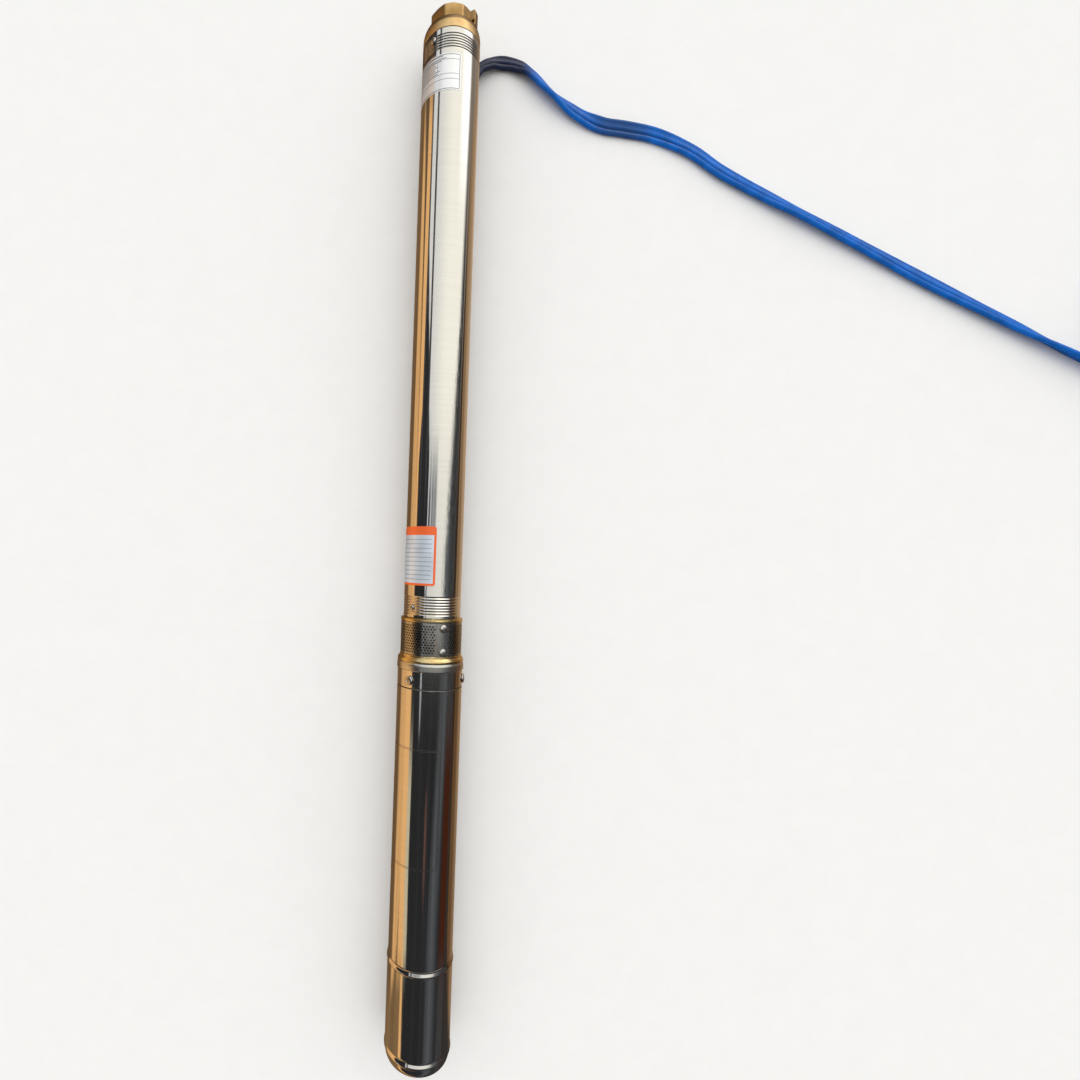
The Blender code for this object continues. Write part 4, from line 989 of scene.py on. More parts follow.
class PUMP_OT_cable(bpy.types.Operator):
    """Lay the flat supply cable over the floor, coil its far length and bare its cores"""

    bl_idname = "pump.cable"
    bl_label = "Flat cable"

    def execute(self, context):
        sizes = context.scene.pump_sizes
        section = cable_section(sizes.cable_width, sizes.cable_thickness)
        points, rolls, lead = cable_line(sizes)
        mesh = swept("flat_cable", section_frames(points, rolls), section)
        sheath = blue_sheath("blue_sheath_plastic")
        cable = piece("flat_cable", mesh, sheath, slot="blue_sheath", sharp=60.0)
        # Kept out of the gloss, or a thin blue line would show along the barrel's edge
        cable.visible_glossy = False
        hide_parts("drop_cable", "cable_coil")

        held_low, held_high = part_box("guarded_cable")
        middle = (held_low + held_high) / 2
        ends = [Vector((middle.x, y, middle.z)) for y in (held_low.y, CABLE_EXIT[1] + CLEARANCE)]
        mesh = swept(
            "guarded_flat_cable", section_frames(ends, [CABLE_EXIT_ROLL] * 2), cable_section(*HELD_CABLE)
        )
        shown("guarded_flat_cable", mesh, sheath, "guarded_cable", "blue_sheath", 60.0)

        with_pieces = bare_cores(sizes, points)
        with_pieces.append(coil_tie(sizes, points))
        return {"FINISHED"}


def bare_cores(sizes, points):
    """The stripped far end: one insulated core from each lobe, with a bright copper tip."""
    last = points[-1].to_2d() - Vector(COIL_CENTRE)
    angle = math.atan2(last.y, last.x)
    spread = (sizes.cable_width - sizes.cable_thickness) / (LOBES - 1)
    copper = striped("bare_copper", (0.72, 0.32, 0.16), (0.45, 0.18, 0.08), 1.0, 0.3, 500.0)
    made = []
    for number, (colour_name, tone) in enumerate(CORES):
        side = number - (LOBES - 1) / 2
        line = []
        for share in (step / 12 for step in range(13)):
            turn = angle + (CORE_LENGTH * share - 0.002) / last.length
            height = coil_level(sizes) + side * spread * (1.0 - 0.25 * share * share)
            line.append(polar(turn, last.length - 0.005 * share * share, height))
        insulation = plastic(f"core_{colour_name}", tone, 0.4)
        made.append(wire(f"bare_core_{number + 1}", line, CORE_RADIUS, insulation, "blue_sheath", end=-2))
        strands = [line[-4].lerp(line[-3], 0.8), line[-2], line[-1]]
        made.append(wire(f"copper_tip_{number + 1}", strands, CORE_RADIUS * 0.6, copper, "copper_winding"))
    return made


def coil_tie(sizes, points):
    """A nylon tie round the coil's turns, with its square head on top."""
    centre = Vector((*COIL_CENTRE, coil_level(sizes)))
    turn = math.radians(TIE_ANGLE)
    ray = Vector((math.cos(turn), math.sin(turn), 0.0))
    side = Vector((-ray.y, ray.x, 0.0))
    rays = [point - centre for point in points]
    coiled = [away for away in rays if away.length < sizes.coil_radius * 1.2]
    reaches = [away.length for away in coiled if away.normalized().dot(ray) > 0.99]
    margin = sizes.cable_thickness / 2 + 0.0004
    inner = min(reaches) - margin
    outer = max(reaches) + margin
    half_tall = sizes.cable_width / 2 + 0.0004
    corners = [(inner, -half_tall), (outer, -half_tall), (outer, half_tall), (inner, half_tall)]
    rings = []
    for reach, height in softened(corners, 0.003, 5):
        spot = Vector((reach, height))
        away = spot - Vector(((inner + outer) / 2, 0.0))
        ring = []
        for across, thick in ((0.5, -0.0003), (0.5, 0.0003), (-0.5, 0.0003), (-0.5, -0.0003)):
            place = spot + away.normalized() * thick
            level = Vector((0.0, 0.0, place.y))
            ring.append(centre + ray * place.x + level + side * TIE_WIDTH * across)
        rings.append(ring)
    band = skin("tie_band", rings, join_ends=True)
    head = box_shape("tie_head", (0.0052, 0.0064, 0.0036), 0.0006)
    lock = centre + ray * (outer - 0.006) + Vector((0.0, 0.0, half_tall + 0.0016))
    head.transform(Matrix.Translation(lock) @ Matrix.Rotation(turn, 4, "Z"))
    nylon = plastic("tie_nylon", (0.02, 0.02, 0.022), 0.45)
    return piece("coil_tie", joined("coil_tie", band, head), nylon, slot="black_rubber")


def box_shape(name, size, rounding):
    """A box with rounded edges, centred on the origin."""
    shape = bmesh.new()
    bmesh.ops.create_cube(shape, size=1.0)
    bmesh.ops.scale(shape, vec=size, verts=shape.verts)
    edges = list(shape.edges)
    bmesh.ops.bevel(shape, geom=edges, offset=rounding, segments=2, profile=0.6, affect="EDGES")
    return mesh_of(name, shape)


def carved(mesh, cutter):
    """The mesh with another cut away from it."""
    body = bpy.data.objects.new("carving", mesh)
    tool = bpy.data.objects.new("carver", cutter)
    for made in (body, tool):
        bpy.context.scene.collection.objects.link(made)
    cut = body.modifiers.new("cut", "BOOLEAN")
    cut.operation = "DIFFERENCE"
    cut.solver = "EXACT"
    cut.object = tool
    graph = bpy.context.evaluated_depsgraph_get()
    result = bpy.data.meshes.new_from_object(body.evaluated_get(graph))
    for made in (body, tool):
        bpy.data.objects.remove(made)
    bpy.data.meshes.remove(mesh)
    bpy.data.meshes.remove(cutter)
    return result


# Screws

def pan_screw(node, head, rise, arm, material):
    """A pan head screw with a cross recess, where the model's screw stands."""
    degrees, height, reach = seat_of(node)
    profile = [(0.0, rise)]
    profile += [(head * sine**0.8, rise * (0.42 + 0.58 * cosine)) for cosine, sine in quarter(8, 1)]
    profile += [(head, rise * 0.3), (head - rise * 0.12, 0.0), (head * 0.45, 0.0)]
    profile += [(head * 0.45, -0.004), (0.0, -0.004)]
    dome = skin("screw_head", [circle(radius, 40, level) for radius, level in profile])
    half = arm * 0.17
    outline = []
    for number in range(4):
        turn = Matrix.Rotation(math.radians(90 * number + 20), 2)
        outline += [turn @ Vector(corner) for corner in ((arm, -half), (arm, half), (half, half))]
    top_level = rise + 0.0004
    floor_level = rise - head * 0.42
    top = [Vector((point.x, point.y, top_level)) for point in outline]
    bottom = [Vector((point.x * 0.45, point.y * 0.45, floor_level)) for point in outline]
    first = Vector((0, 0, floor_level))
    last = Vector((0, 0, top_level))
    shape = carved(dome, skin("cross_recess", [[first], bottom, top, [last]]))
    shape.transform(outward(degrees, reach - rise, height))
    return shown(node + "_head", shape, material, node, "brushed_steel", 28.0)


class PUMP_OT_screws(bpy.types.Operator):
    """Fit the pan head screws of the motor, the strainer's strap, the barrel's ends and the guard"""

    bl_idname = "pump.screws"
    bl_label = "Screws"

    def execute(self, context):
        material = steel("fastener_steel", (0.62, 0.61, 0.60), 0.20, 900.0, 0.000006, 0.0, 900.0, 0.5)
        for node, head, rise, arm in SCREWS:
            pan_screw(node, head, rise, arm, material)
        return {"FINISHED"}


# Tubes, rings and castings

class PUMP_OT_motor(bpy.types.Operator):
    """Turn the bottom cap, the capacitor housing, the motor tube and the ring on top of it"""

    bl_idname = "pump.motor"
    bl_label = "Motor"

    def execute(self, context):
        cap_top = HOUSING_FOOT - CLEARANCE
        spigot = high("base_cap")
        spigot_radius = HOUSING_RADIUS - 0.0013
        reach = CAP_RADIUS - CAP_FACE_RADIUS
        profile = [(0.0, 0.0), (0.010, 0.0), (0.0104, 0.0003), (0.0120, 0.0003), (0.0124, 0.0)]
        profile.append((CAP_FACE_RADIUS, 0.0))
        for cosine, sine in quarter(12, 1):
            profile.append((CAP_FACE_RADIUS + reach * sine, cap_top * 0.8 * (1 - cosine)))
        profile += [(CAP_RADIUS, cap_top), (spigot_radius, cap_top), (spigot_radius, spigot), (0.0, spigot)]
        mesh = pole_turned("bottom_cap", profile)
        shown("bottom_cap", mesh, motor_steel(), "base_cap", "polished_steel")

        bore = HOUSING_RADIUS - MOTOR_WALL
        profile = bead(HOUSING_RADIUS, LOWER_BEAD_RADIUS, HOUSING_FOOT, LOWER_BEAD_WIDTH)
        profile += bead(HOUSING_RADIUS, UPPER_BEAD_RADIUS, HOUSING_TOP - UPPER_BEAD_WIDTH, UPPER_BEAD_WIDTH)
        profile += [(bore, HOUSING_TOP), (bore, HOUSING_FOOT)]
        mesh = turned("capacitor_tube", profile)
        shown("capacitor_tube", mesh, motor_steel(), "capacitor_housing", "polished_steel")

        seam = MOTOR_TOP - SEAM_FROM_TOP
        bore = MOTOR_RADIUS - MOTOR_WALL
        profile = [
            (MOTOR_RADIUS - 0.0003, MOTOR_FOOT),
            (MOTOR_RADIUS, MOTOR_FOOT + 0.0003),
            (MOTOR_RADIUS, seam - 0.0007),
            (MOTOR_RADIUS - SEAM_DEPTH, seam - 0.0003),
            (MOTOR_RADIUS - SEAM_DEPTH, seam + 0.0003),
            (MOTOR_RADIUS, seam + 0.0007),
            (MOTOR_RADIUS, MOTOR_TOP - 0.0003),
            (MOTOR_RADIUS - 0.0003, MOTOR_TOP),
            (bore, MOTOR_TOP),
            (bore, MOTOR_FOOT),
        ]
        shown("motor_tube", turned("motor_tube", profile), plate_steel(), "motor_shell", "polished_steel")

        ring_foot = MOTOR_TOP + CLEARANCE
        bell_foot = low("upper_end_bell")
        inside = bore - CLEARANCE
        profile = [
            (SHAFT_BORE, RING_TOP - SEAL_DEPTH),
            (SEAL_RADIUS, RING_TOP - SEAL_DEPTH),
            (SEAL_RADIUS, RING_TOP),
            (RING_RADIUS - 0.0011, RING_TOP),
            (RING_RADIUS, RING_TOP - 0.0026),
            (RING_RADIUS, ring_foot),
            (inside, ring_foot),
            (inside, bell_foot),
            (BEARING_SEAT, bell_foot),
            (BEARING_SEAT, bell_foot + BEARING_DEPTH),
            (SHAFT_BORE, bell_foot + BEARING_DEPTH),
        ]
        mesh = turned("motor_top_ring", softened(profile))
        ring = steel("turned_ring_steel", (0.68, 0.67, 0.65), 0.26, 2400.0, 0.00001, 0.0, 3.0, 0.6)
        shown("motor_top_ring", mesh, ring, "upper_end_bell", "brushed_steel")
        return {"FINISHED"}


def pole_turned(name, profile, sides=SIDES):
    """A turned mesh whose profile starts and ends on the axis."""
    rings = []
    for radius, height in profile:
        count = 1 if radius == 0.0 else sides
        rings.append([around(360.0 * step / count, radius, height) for step in range(count)])
    return skin(name, rings)


class PUMP_OT_inlet(bpy.types.Operator):
    """Turn the brass inlet body and wrap the perforated strainer with its strap round it"""

    bl_idname = "pump.inlet"
    bl_label = "Inlet and strainer"

    def execute(self, context):
        sizes = context.scene.pump_sizes
        foot = RING_TOP + CLEARANCE
        shelf_top = STRAINER_FOOT - CLEARANCE
        band_foot = STRAINER_TOP + CLEARANCE
        band_top = BARREL_FOOT - CLEARANCE
        top = high("inlet_body")
        land = STRAINER_RADIUS - STRAINER_WALL - CLEARANCE
        spigot = BARREL_RADIUS - BARREL_WALL - CLEARANCE
        profile = [
            (INLET_BORE, foot),
            (FLANGE_RADIUS, foot),
            (FLANGE_RADIUS, foot + 0.0023),
            (FLANGE_RADIUS - 0.0010, foot + 0.0040),
            (SHELF_RADIUS, shelf_top - 0.0023),
            (SHELF_RADIUS, shelf_top),
            (land, shelf_top),
            (land, STRAINER_FOOT + WINDOW_INSET),
            (INLET_BORE, STRAINER_FOOT + WINDOW_INSET),
        ]
        flange = turned("inlet_flange", softened(profile, 0.0006))
        profile = [
            (INLET_BORE, STRAINER_TOP - WINDOW_INSET),
            (land, STRAINER_TOP - WINDOW_INSET),
            (land, band_foot),
            (BAND_RADIUS, band_foot),
            (BAND_RADIUS, band_foot + 0.0030),
            (BARREL_RADIUS + 0.0004, band_foot + 0.0034),
            (BARREL_RADIUS - 0.0004, band_top),
            (spigot, band_top),
            (spigot, top),
            (INLET_BORE, top),
        ]
        band = turned("inlet_band", softened(profile))
        profile = [
            (INLET_BORE, STRAINER_FOOT + WINDOW_INSET),
            (land, STRAINER_FOOT + WINDOW_INSET),
            (land, STRAINER_TOP - WINDOW_INSET),
            (INLET_BORE, STRAINER_TOP - WINDOW_INSET),
        ]
        posts = []
        for number in range(POSTS):
            middle = FIRST_POST + 360.0 / POSTS * number
            posts.append(turned("post", profile, 16, middle - HALF_POST, middle + HALF_POST))
        mesh = joined("inlet_casting", flange, band, *posts)
        shown("inlet_casting", mesh, inlet_brass(), "inlet_body", "brass")

        shown("strainer_screen", perforated(sizes), dark_steel(), "strainer", "strainer_steel", 40.0)
        place = (STRAP_FROM, STRAP_TO, STRAINER_FOOT, STRAINER_TOP)
        strap = patch("strainer_strap", place, STRAINER_RADIUS + 0.0005, 0.0011, 0.0012)
        piece("strainer_strap", strap, dark_steel(), slot="strainer_steel")
        return {"FINISHED"}


def perforated(sizes):
    """A sleeve of sheet with staggered round holes, each a real one, between two plain rims."""
    outer = STRAINER_RADIUS
    inner = outer - STRAINER_WALL
    count = sizes.holes_round
    pitch = 360.0 / count
    rows = STRAINER_HOLE_ROWS
    rim = STRAINER_RIM
    tall = (STRAINER_TOP - STRAINER_FOOT - 2 * rim) / rows
    hole_high = sizes.hole_size / 2
    hole_round = math.degrees(hole_high / outer)
    shape = bmesh.new()
    known = {}

    def vertex(degrees, height, radius):
        key = (round(degrees % 360.0, 4), round(height, 7), round(radius, 6))
        if key not in known:
            known[key] = shape.verts.new(around(degrees, radius, height))
        return known[key]

    def wall(first, second):
        """Faces between two loops that have the same number of points."""
        for index in range(len(first)):
            after = (index + 1) % len(first)
            shape.faces.new((first[index], first[after], second[after], second[index]))

    corner = ((-1, -1), (0, -1), (1, -1), (1, 0), (1, 1), (0, 1), (-1, 1), (-1, 0))
    for row in range(rows):
        middle_height = STRAINER_FOOT + rim + tall * (row + 0.5)
        for column in range(count):
            middle = pitch * (column + 0.5 * (row % 2))
            solid = STRAP_FROM - 2.0 < (middle + 180.0) % 360.0 - 180.0 < STRAP_TO + 2.0
            holes = []
            for radius in (outer, inner):
                cell = [
                    vertex(middle + pitch / 2 * x, middle_height + tall / 2 * y, radius) for x, y in corner
                ]
                if solid:
                    shape.faces.new(cell)
                    continue
                hole = []
                for x, y in corner:
                    length = math.hypot(x, y)
                    height = middle_height + hole_high * y / length
                    hole.append(vertex(middle + hole_round * x / length, height, radius))
                holes.append(hole)
                wall(cell, hole)
            if not solid:
                wall(*holes)
    for foot, top, edge, shift in (
        (STRAINER_FOOT, STRAINER_FOOT + rim, STRAINER_FOOT, 0),
        (STRAINER_TOP - rim, STRAINER_TOP, STRAINER_TOP, (rows - 1) % 2),
    ):
        for half in range(count * 2):
            first = pitch * (half / 2 + 0.5 * shift)
            second = first + pitch / 2
            for radius in (outer, inner):
                low_side = [vertex(first, foot, radius), vertex(second, foot, radius)]
                shape.faces.new((*low_side, vertex(second, top, radius), vertex(first, top, radius)))
            outside = [vertex(first, edge, outer), vertex(second, edge, outer)]
            shape.faces.new((*outside, vertex(second, edge, inner), vertex(first, edge, inner)))
    bmesh.ops.recalc_face_normals(shape, faces=shape.faces)
    return mesh_of("strainer_screen", shape)


def patch(name, place, radius, thickness, corner, columns=72):
    """A thin curved plate on the pump, from one angle and height to another, with round corners."""
    start, end, foot, top = place
    reach = math.degrees(corner / radius)
    heights = [(foot + corner * (1 - cosine), reach * (1 - sine)) for cosine, sine in quarter(6)]
    heights += [(foot + top - height, inset) for height, inset in heights[::-1]]
    fine = thickness * 0.25
    edge = math.degrees(fine / radius)
    rings = []
    for height, inset in heights:
        first = start + inset
        last = end - inset
        line = [first + (last - first) * step / columns for step in range(columns + 1)]
        under = [around(degrees, radius - thickness, height) for degrees in line]
        trimmed = [min(max(degrees, first + edge), last - edge) for degrees in line[::-1]]
        over = [around(degrees, radius, height) for degrees in trimmed]
        sides = [around(degrees, radius - fine, height) for degrees in (last, first)]
        rings.append([*under, sides[0], *over, sides[1]])
    return skin(name, rings, capped=True)


class PUMP_OT_barrel(bpy.types.Operator):
    """Draw the polished pump barrel with its rolled ring grooves"""

    bl_idname = "pump.barrel"
    bl_label = "Barrel"

    def execute(self, context):
        sizes = context.scene.pump_sizes
        depth = sizes.groove_depth
        profile = [(BARREL_RADIUS - 0.0003, BARREL_FOOT), (BARREL_RADIUS, BARREL_FOOT + 0.0004)]
        profile += rolled_grooves(BARREL_FOOT + LOWER_GROOVES[0], *LOWER_GROOVES[1:], depth)
        profile += rolled_grooves(upper_groove_foot(), *UPPER_GROOVES[1:], depth)
        profile += [(BARREL_RADIUS, BARREL_TOP - 0.0004), (BARREL_RADIUS - 0.0003, BARREL_TOP)]
        bore = BARREL_RADIUS - BARREL_WALL
        profile += [(bore, BARREL_TOP), (bore, BARREL_FOOT)]
        shown("barrel_tube", turned("barrel_tube", profile), tube_steel(), "pump_barrel", "polished_steel")
        return {"FINISHED"}


def upper_groove_foot():
    """The height of the upper grooves' lower end."""
    offset, pitch, count = UPPER_GROOVES
    return BARREL_TOP - offset - pitch * count


def rolled_grooves(foot, pitch, count, depth, steps=14):
    """Points over a row of rolled grooves: broad round lands with narrow valleys between."""
    points = []
    for number in range(count):
        for step in range(steps):
            share = step / steps
            valley = (0.5 - 0.5 * math.cos(math.tau * share)) ** 1.7
            points.append((BARREL_RADIUS - depth * valley, foot + pitch * (number + share)))
    points.append((BARREL_RADIUS, foot + pitch * count))
    return points


class PUMP_OT_labels(bpy.types.Operator):
    """Put the bare silver label and the bordered sticker on the barrel"""

    bl_idname = "pump.labels"
    bl_label = "Labels"

    def execute(self, context):
        for name, place, corner, material in (
            ("barrel_label", LABEL, 0.0022, label_foil()),
            ("barrel_sticker", STICKER, 0.0030, sticker_foil()),
        ):
            mesh = patch(name, place, BARREL_RADIUS + 0.00016, 0.0002, corner)
            piece(name, mesh, material, slot="polished_steel")
        return {"FINISHED"}


class PUMP_OT_outlet(bpy.types.Operator):
    """Cast the brass outlet with its octagon, threaded port and rope lug"""

    bl_idname = "pump.outlet"
    bl_label = "Outlet casting"

    def execute(self, context):
        collar_foot = BARREL_TOP + CLEARANCE
        octagon_foot = OUTLET_FACE - OCTAGON_HEIGHT
        collar_top = octagon_foot - SHOULDER_HEIGHT
        spigot = BARREL_RADIUS - BARREL_WALL - CLEARANCE
        corner_reach = OCTAGON_HALF / math.cos(math.radians(22.5))
        slope = OCTAGON_CHAMFER / (corner_reach - OCTAGON_HALF)
        rim = OCTAGON_HALF - 0.0004
        seat_rim = GUIDE_RADIUS - 0.00115
        shoulder = [
            (spigot, OUTLET_FOOT),
            (spigot, collar_foot),
            (BARREL_RADIUS - 0.0004, collar_foot),
            (BARREL_RADIUS, collar_foot + 0.0004),
            (BARREL_RADIUS, collar_top - 0.0006),
        ]
        for cosine, sine in quarter(12):
            reach = NECK_RADIUS + (BARREL_RADIUS - NECK_RADIUS) * cosine
            shoulder.append((reach, collar_top + (octagon_foot - collar_top) * sine))
        port = [
            (rim + 0.0002, OUTLET_FACE - 0.0004),
            (rim, OUTLET_FACE - 0.0001),
            (rim - 0.0005, OUTLET_FACE),
            (PORT_RADIUS + 0.0022, OUTLET_FACE),
            (PORT_RADIUS + 0.0018, OUTLET_FACE - 0.0002),
            *thread_line(OUTLET_FACE - 0.0016, GUIDE_TOP + 0.007),
            (PORT_RADIUS, GUIDE_TOP + CLEARANCE),
            (GUIDE_RADIUS + CLEARANCE, GUIDE_TOP + CLEARANCE),
            (GUIDE_RADIUS + CLEARANCE, GUIDE_FOOT - CLEARANCE),
            (seat_rim, GUIDE_FOOT - CLEARANCE),
            (seat_rim, VALVE_SEAT),
            (VALVE_BORE, VALVE_SEAT),
            (VALVE_BORE, VALVE_SEAT - 0.005),
            (SPIGOT_BORE, VALVE_SEAT - 0.009),
            (SPIGOT_BORE, OUTLET_FOOT),
        ]
        columns = []
        sides = 288
        for column in range(sides):
            degrees = 360.0 * column / sides
            off = (degrees + 22.5) % 45.0 - 22.5
            flat = OCTAGON_HALF / math.cos(math.radians(off))
            reach = flat - 0.0003 * max(0.0, (abs(off) - 20.0) / 2.5) ** 2
            chamfer = OUTLET_FACE - 0.0006 - (reach - OCTAGON_HALF) * slope
            fillet = min(0.0012, (NECK_RADIUS - reach) * 0.9)
            facet = [(reach + fillet * (1 - y), octagon_foot + fillet * (1 - x)) for x, y in quarter(6, 1)]
            facet += [
                (reach, octagon_foot + (chamfer - octagon_foot) * 0.5),
                (reach, chamfer - 0.0003),
                (reach - 0.0001, chamfer),
            ]
            columns.append([around(degrees, radius, height) for radius, height in shoulder + facet + port])
        body = skin("outlet_body", columns, join_ends=True)
        mesh = joined("outlet_casting", body, rope_lug())
        shown("outlet_casting", mesh, outlet_brass(), "outlet_head", "brass")
        return {"FINISHED"}


def thread_line(top, foot):
    """Points down the thread of the port, from its mouth to its last turn."""
    points = []
    for number in range(int((top - foot) / THREAD_PITCH)):
        height = top - THREAD_PITCH * number
        for depth, share in ((0.0012, 0.0), (0.0012, 0.15), (0.0, 0.5), (0.0, 0.65)):
            points.append((PORT_RADIUS + depth, height - THREAD_PITCH * share))
    return points


def rope_lug():
    """The lug for the safety rope: a rounded plate with an eye, standing off the octagon."""
    top = OUTLET_FACE - 0.0004
    foot = OUTLET_FACE - OCTAGON_CHAMFER - LUG_HEIGHT - 0.0025
    inner = 0.0190
    eye = Vector((LUG_REACH - 0.0033, (top + foot) / 2))
    box_middle = Vector(((inner + LUG_REACH) / 2, (top + foot) / 2))
    half = Vector(((LUG_REACH - inner) / 2, (top - foot) / 2))
    rounding = 0.0024

    def outside(point):
        off = Vector((abs(point.x - box_middle.x), abs(point.y - box_middle.y))) - half
        off += Vector((rounding, rounding))
        past = Vector((max(off.x, 0.0), max(off.y, 0.0)))
        return past.length + min(max(off.x, off.y), 0.0) - rounding

    place = outward(LUG_ANGLE, 0.0, 0.0)
    rings = []
    steps = 64
    hole, half_width = LUG_EYE / 2, LUG_WIDTH / 2
    for step in range(steps):
        turn = math.tau * step / steps
        ray = Vector((math.cos(turn), math.sin(turn)))
        near, far = 0.0, 0.05
        for _ in range(24):
            middle = (near + far) / 2
            if outside(eye + ray * middle) > 0:
                far = middle
            else:
                near = middle
        section = [(hole, -half_width), (near, -half_width), (near, half_width), (hole, half_width)]
        ring = []
        for reach, across in softened(section, 0.0009, 4):
            spot = eye + ray * reach
            ring.append(place @ Vector((across, spot.y, spot.x)))
        rings.append(ring)
    return skin("rope_lug", rings, join_ends=True)


# Finishes that carry a layout

def layout(tree, radius, plate, corner):
    """The place inside a plate's rounded frame, in a material: inset, across and up."""
    start, end, foot, top = plate
    return shared(
        tree,
        plate_layout,
        radius=radius,
        middle_angle=math.radians(start + end) / 2,
        middle_height=(foot + top) / 2,
        half_width=math.radians(end - start) * radius / 2,
        half_height=(top - foot) / 2,
        corner=corner,
    ).values()


def stripe(value, centre, width, soft=0.00015):
    """A mask of a plain line of this width on a coordinate."""
    return between(abs(value - centre), width / 2 + soft, width / 2 - soft)


def label_foil():
    """The upper label: matt silver foil with a thin grey border, plain rules and a column line."""
    made, tree, shader = fresh_material("silver_label_foil", metallic=0.6)
    inset, across, up = layout(tree, BARREL_RADIUS, LABEL, 0.0022)
    tall = LABEL[3] - LABEL[2]
    rules = [stripe(up, tall * (0.5 - share), 0.0006) for share in (0.17, 0.56, 0.70)]
    column = span(up, tall * -0.06, tall * -0.055, tall * 0.325, tall * 0.33)
    rules.append(stripe(across, 0.008, 0.0004) * column)
    for number, end in enumerate((0.015, 0.019, 0.013, 0.006, 0.009, 0.005, 0.011, 0.008)):
        row = stripe(up, tall * (0.43 - 0.064 * number), 0.0010)
        rules.append(row * span(across, -0.0245, -0.0240, end - 0.0005, end))
    ink = stripe(inset, 0.0016, 0.0009) | any_of(*rules) * between(inset, 0.0014, 0.0016)
    marks = shared(tree, handling_marks, scratch_density=1.0, smudge_scale=30.0)
    tone = blended(marks["Smudges"], (0.80, 0.81, 0.84), (0.70, 0.71, 0.74))
    tone = blended(ink * 0.9, tone, (0.16, 0.165, 0.19))
    rough = between(marks["Smudges"], 0.0, 1.0, 0.30, 0.38, False)
    feed(shader, base_color=tone, roughness=rough, normal=bump(ink, 0.00002))
    return made


def sticker_foil():
    """The lower sticker: a bordered pale panel with a broad header band and plain rules."""
    made, tree, shader = fresh_material("bordered_sticker_foil", specular_ior_level=0.5)
    inset, _, up = layout(tree, BARREL_RADIUS, STICKER, 0.0030)
    tall = STICKER[3] - STICKER[2]
    header_edge = tall / 2 - STICKER_HEADER
    header = between(up, header_edge - 0.0001, header_edge + 0.0001)
    coloured = between(inset, 0.0027, 0.0025) | header
    spacing = (tall - STICKER_HEADER) / 11.4
    rules = any_of(*(stripe(up, header_edge - spacing * (number + 1), 0.0008) for number in range(10)))
    lines = rules * between(inset, 0.0050, 0.0052) * between(up, header_edge, header_edge - 0.001)
    marks = shared(tree, handling_marks, scratch_density=1.2, smudge_scale=34.0)
    panel = tuple(colours().panel)
    tone = blended(marks["Smudges"], panel, scaled(panel, 0.85))
    tone = blended(lines * 0.6, tone, (0.10, 0.11, 0.13))
    tone = blended(coloured, tone, tuple(colours().sticker))
    rough = between(marks["Smudges"], 0.0, 1.0, 0.30, 0.42, False)
    metal = between(coloured, 0.0, 1.0, 0.35, 0.10)
    feed(shader, base_color=tone, metallic=metal, roughness=rough, normal=bump(lines | coloured, 0.00002))
    return made


def plate_steel():
    """The motor tube's steel, with the thin etched frame of its bare rating plate."""
    made = motor_steel("etched_motor_steel", 0.075)
    inset, _, up = layout(made.node_tree, MOTOR_RADIUS, PLATE, 0.004)
    seam = stripe(up, MOTOR_TOP - SEAM_FROM_TOP - (PLATE[2] + PLATE[3]) / 2, 0.0016, 0.0003)
    etched = any_of(stripe(inset, 0.0008, 0.0005), stripe(inset, 0.0024, 0.0004), seam)
    shader, tone = fed(made, "Base Color")
    rough = fed(made, "Roughness")[1]
    feed(shader, base_color=blended(etched * 0.8, tone, (0.05, 0.05, 0.05)), roughness=rough | etched * 0.5)
    return made


class PUMP_OT_inner_parts(bpy.types.Operator):
    """Give every part that keeps its model shape its own finish"""

    bl_idname = "pump.inner_parts"
    bl_label = "Inner parts and guard"

    def execute(self, context):
        laminated = striped("laminated_core", (0.30, 0.30, 0.31), (0.12, 0.12, 0.13), 0.9, 0.35, 900.0)
        winding = striped("varnished_winding", (0.62, 0.24, 0.08), (0.30, 0.09, 0.03), 0.7, 0.3, 260.0, "X")
        bell = steel("cast_bell_steel", (0.34, 0.34, 0.34), 0.4, 700.0, 0.00002)
        shaft = steel("ground_shaft", (0.64, 0.63, 0.61), 0.16, 3200.0, 0.000004, 0.0, 3.0, 0.4)
        stage = plastic("moulded_stage", (0.035, 0.036, 0.038), 0.42, 0.00003)
        seal = plastic("black_rubber", (0.012, 0.012, 0.013), 0.6, 0.00004)
        case = plastic("capacitor_case", (0.55, 0.55, 0.53), 0.38)
        guard = steel("folded_sheet_steel", (0.60, 0.59, 0.57), 0.20, 500.0, 0.000005, 0.0003, 60.0, 1.2)
        stages = [f"{kind}_{number}" for number in range(1, 9) for kind in ("impeller", "diffuser")]
        for material, nodes in (
            (laminated, ("stator_core", "rotor_core")),
            (winding, ("winding_head_lower", "winding_head_upper")),
            (bell, ("lower_end_bell", "seal_seat")),
            (shaft, ("motor_shaft", "pump_shaft", "coupling", "lower_bearing", "upper_bearing")),
            (seal, ("seal_rotor", "poppet_seal", "shaft_bush", "cable_gland")),
            (case, ("capacitor",)),
            (turned_brass(), ("valve_guide", "check_valve_poppet")),
            (guard, ("cable_guard",)),
            (stage, ("top_bearing_spider", *stages)),
        ):
            for node in nodes:
                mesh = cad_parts[node].data
                mesh.materials.clear()
                mesh.materials.append(material)
        for node in ("cable_guard", "valve_guide", "check_valve_poppet", "cable_gland"):
            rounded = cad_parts[node].modifiers.new("rounded", "BEVEL")
            rounded.width = 0.0003
            rounded.segments = 2
            rounded.limit_method = "ANGLE"
            rounded.angle_limit = math.radians(40)
        return {"FINISHED"}


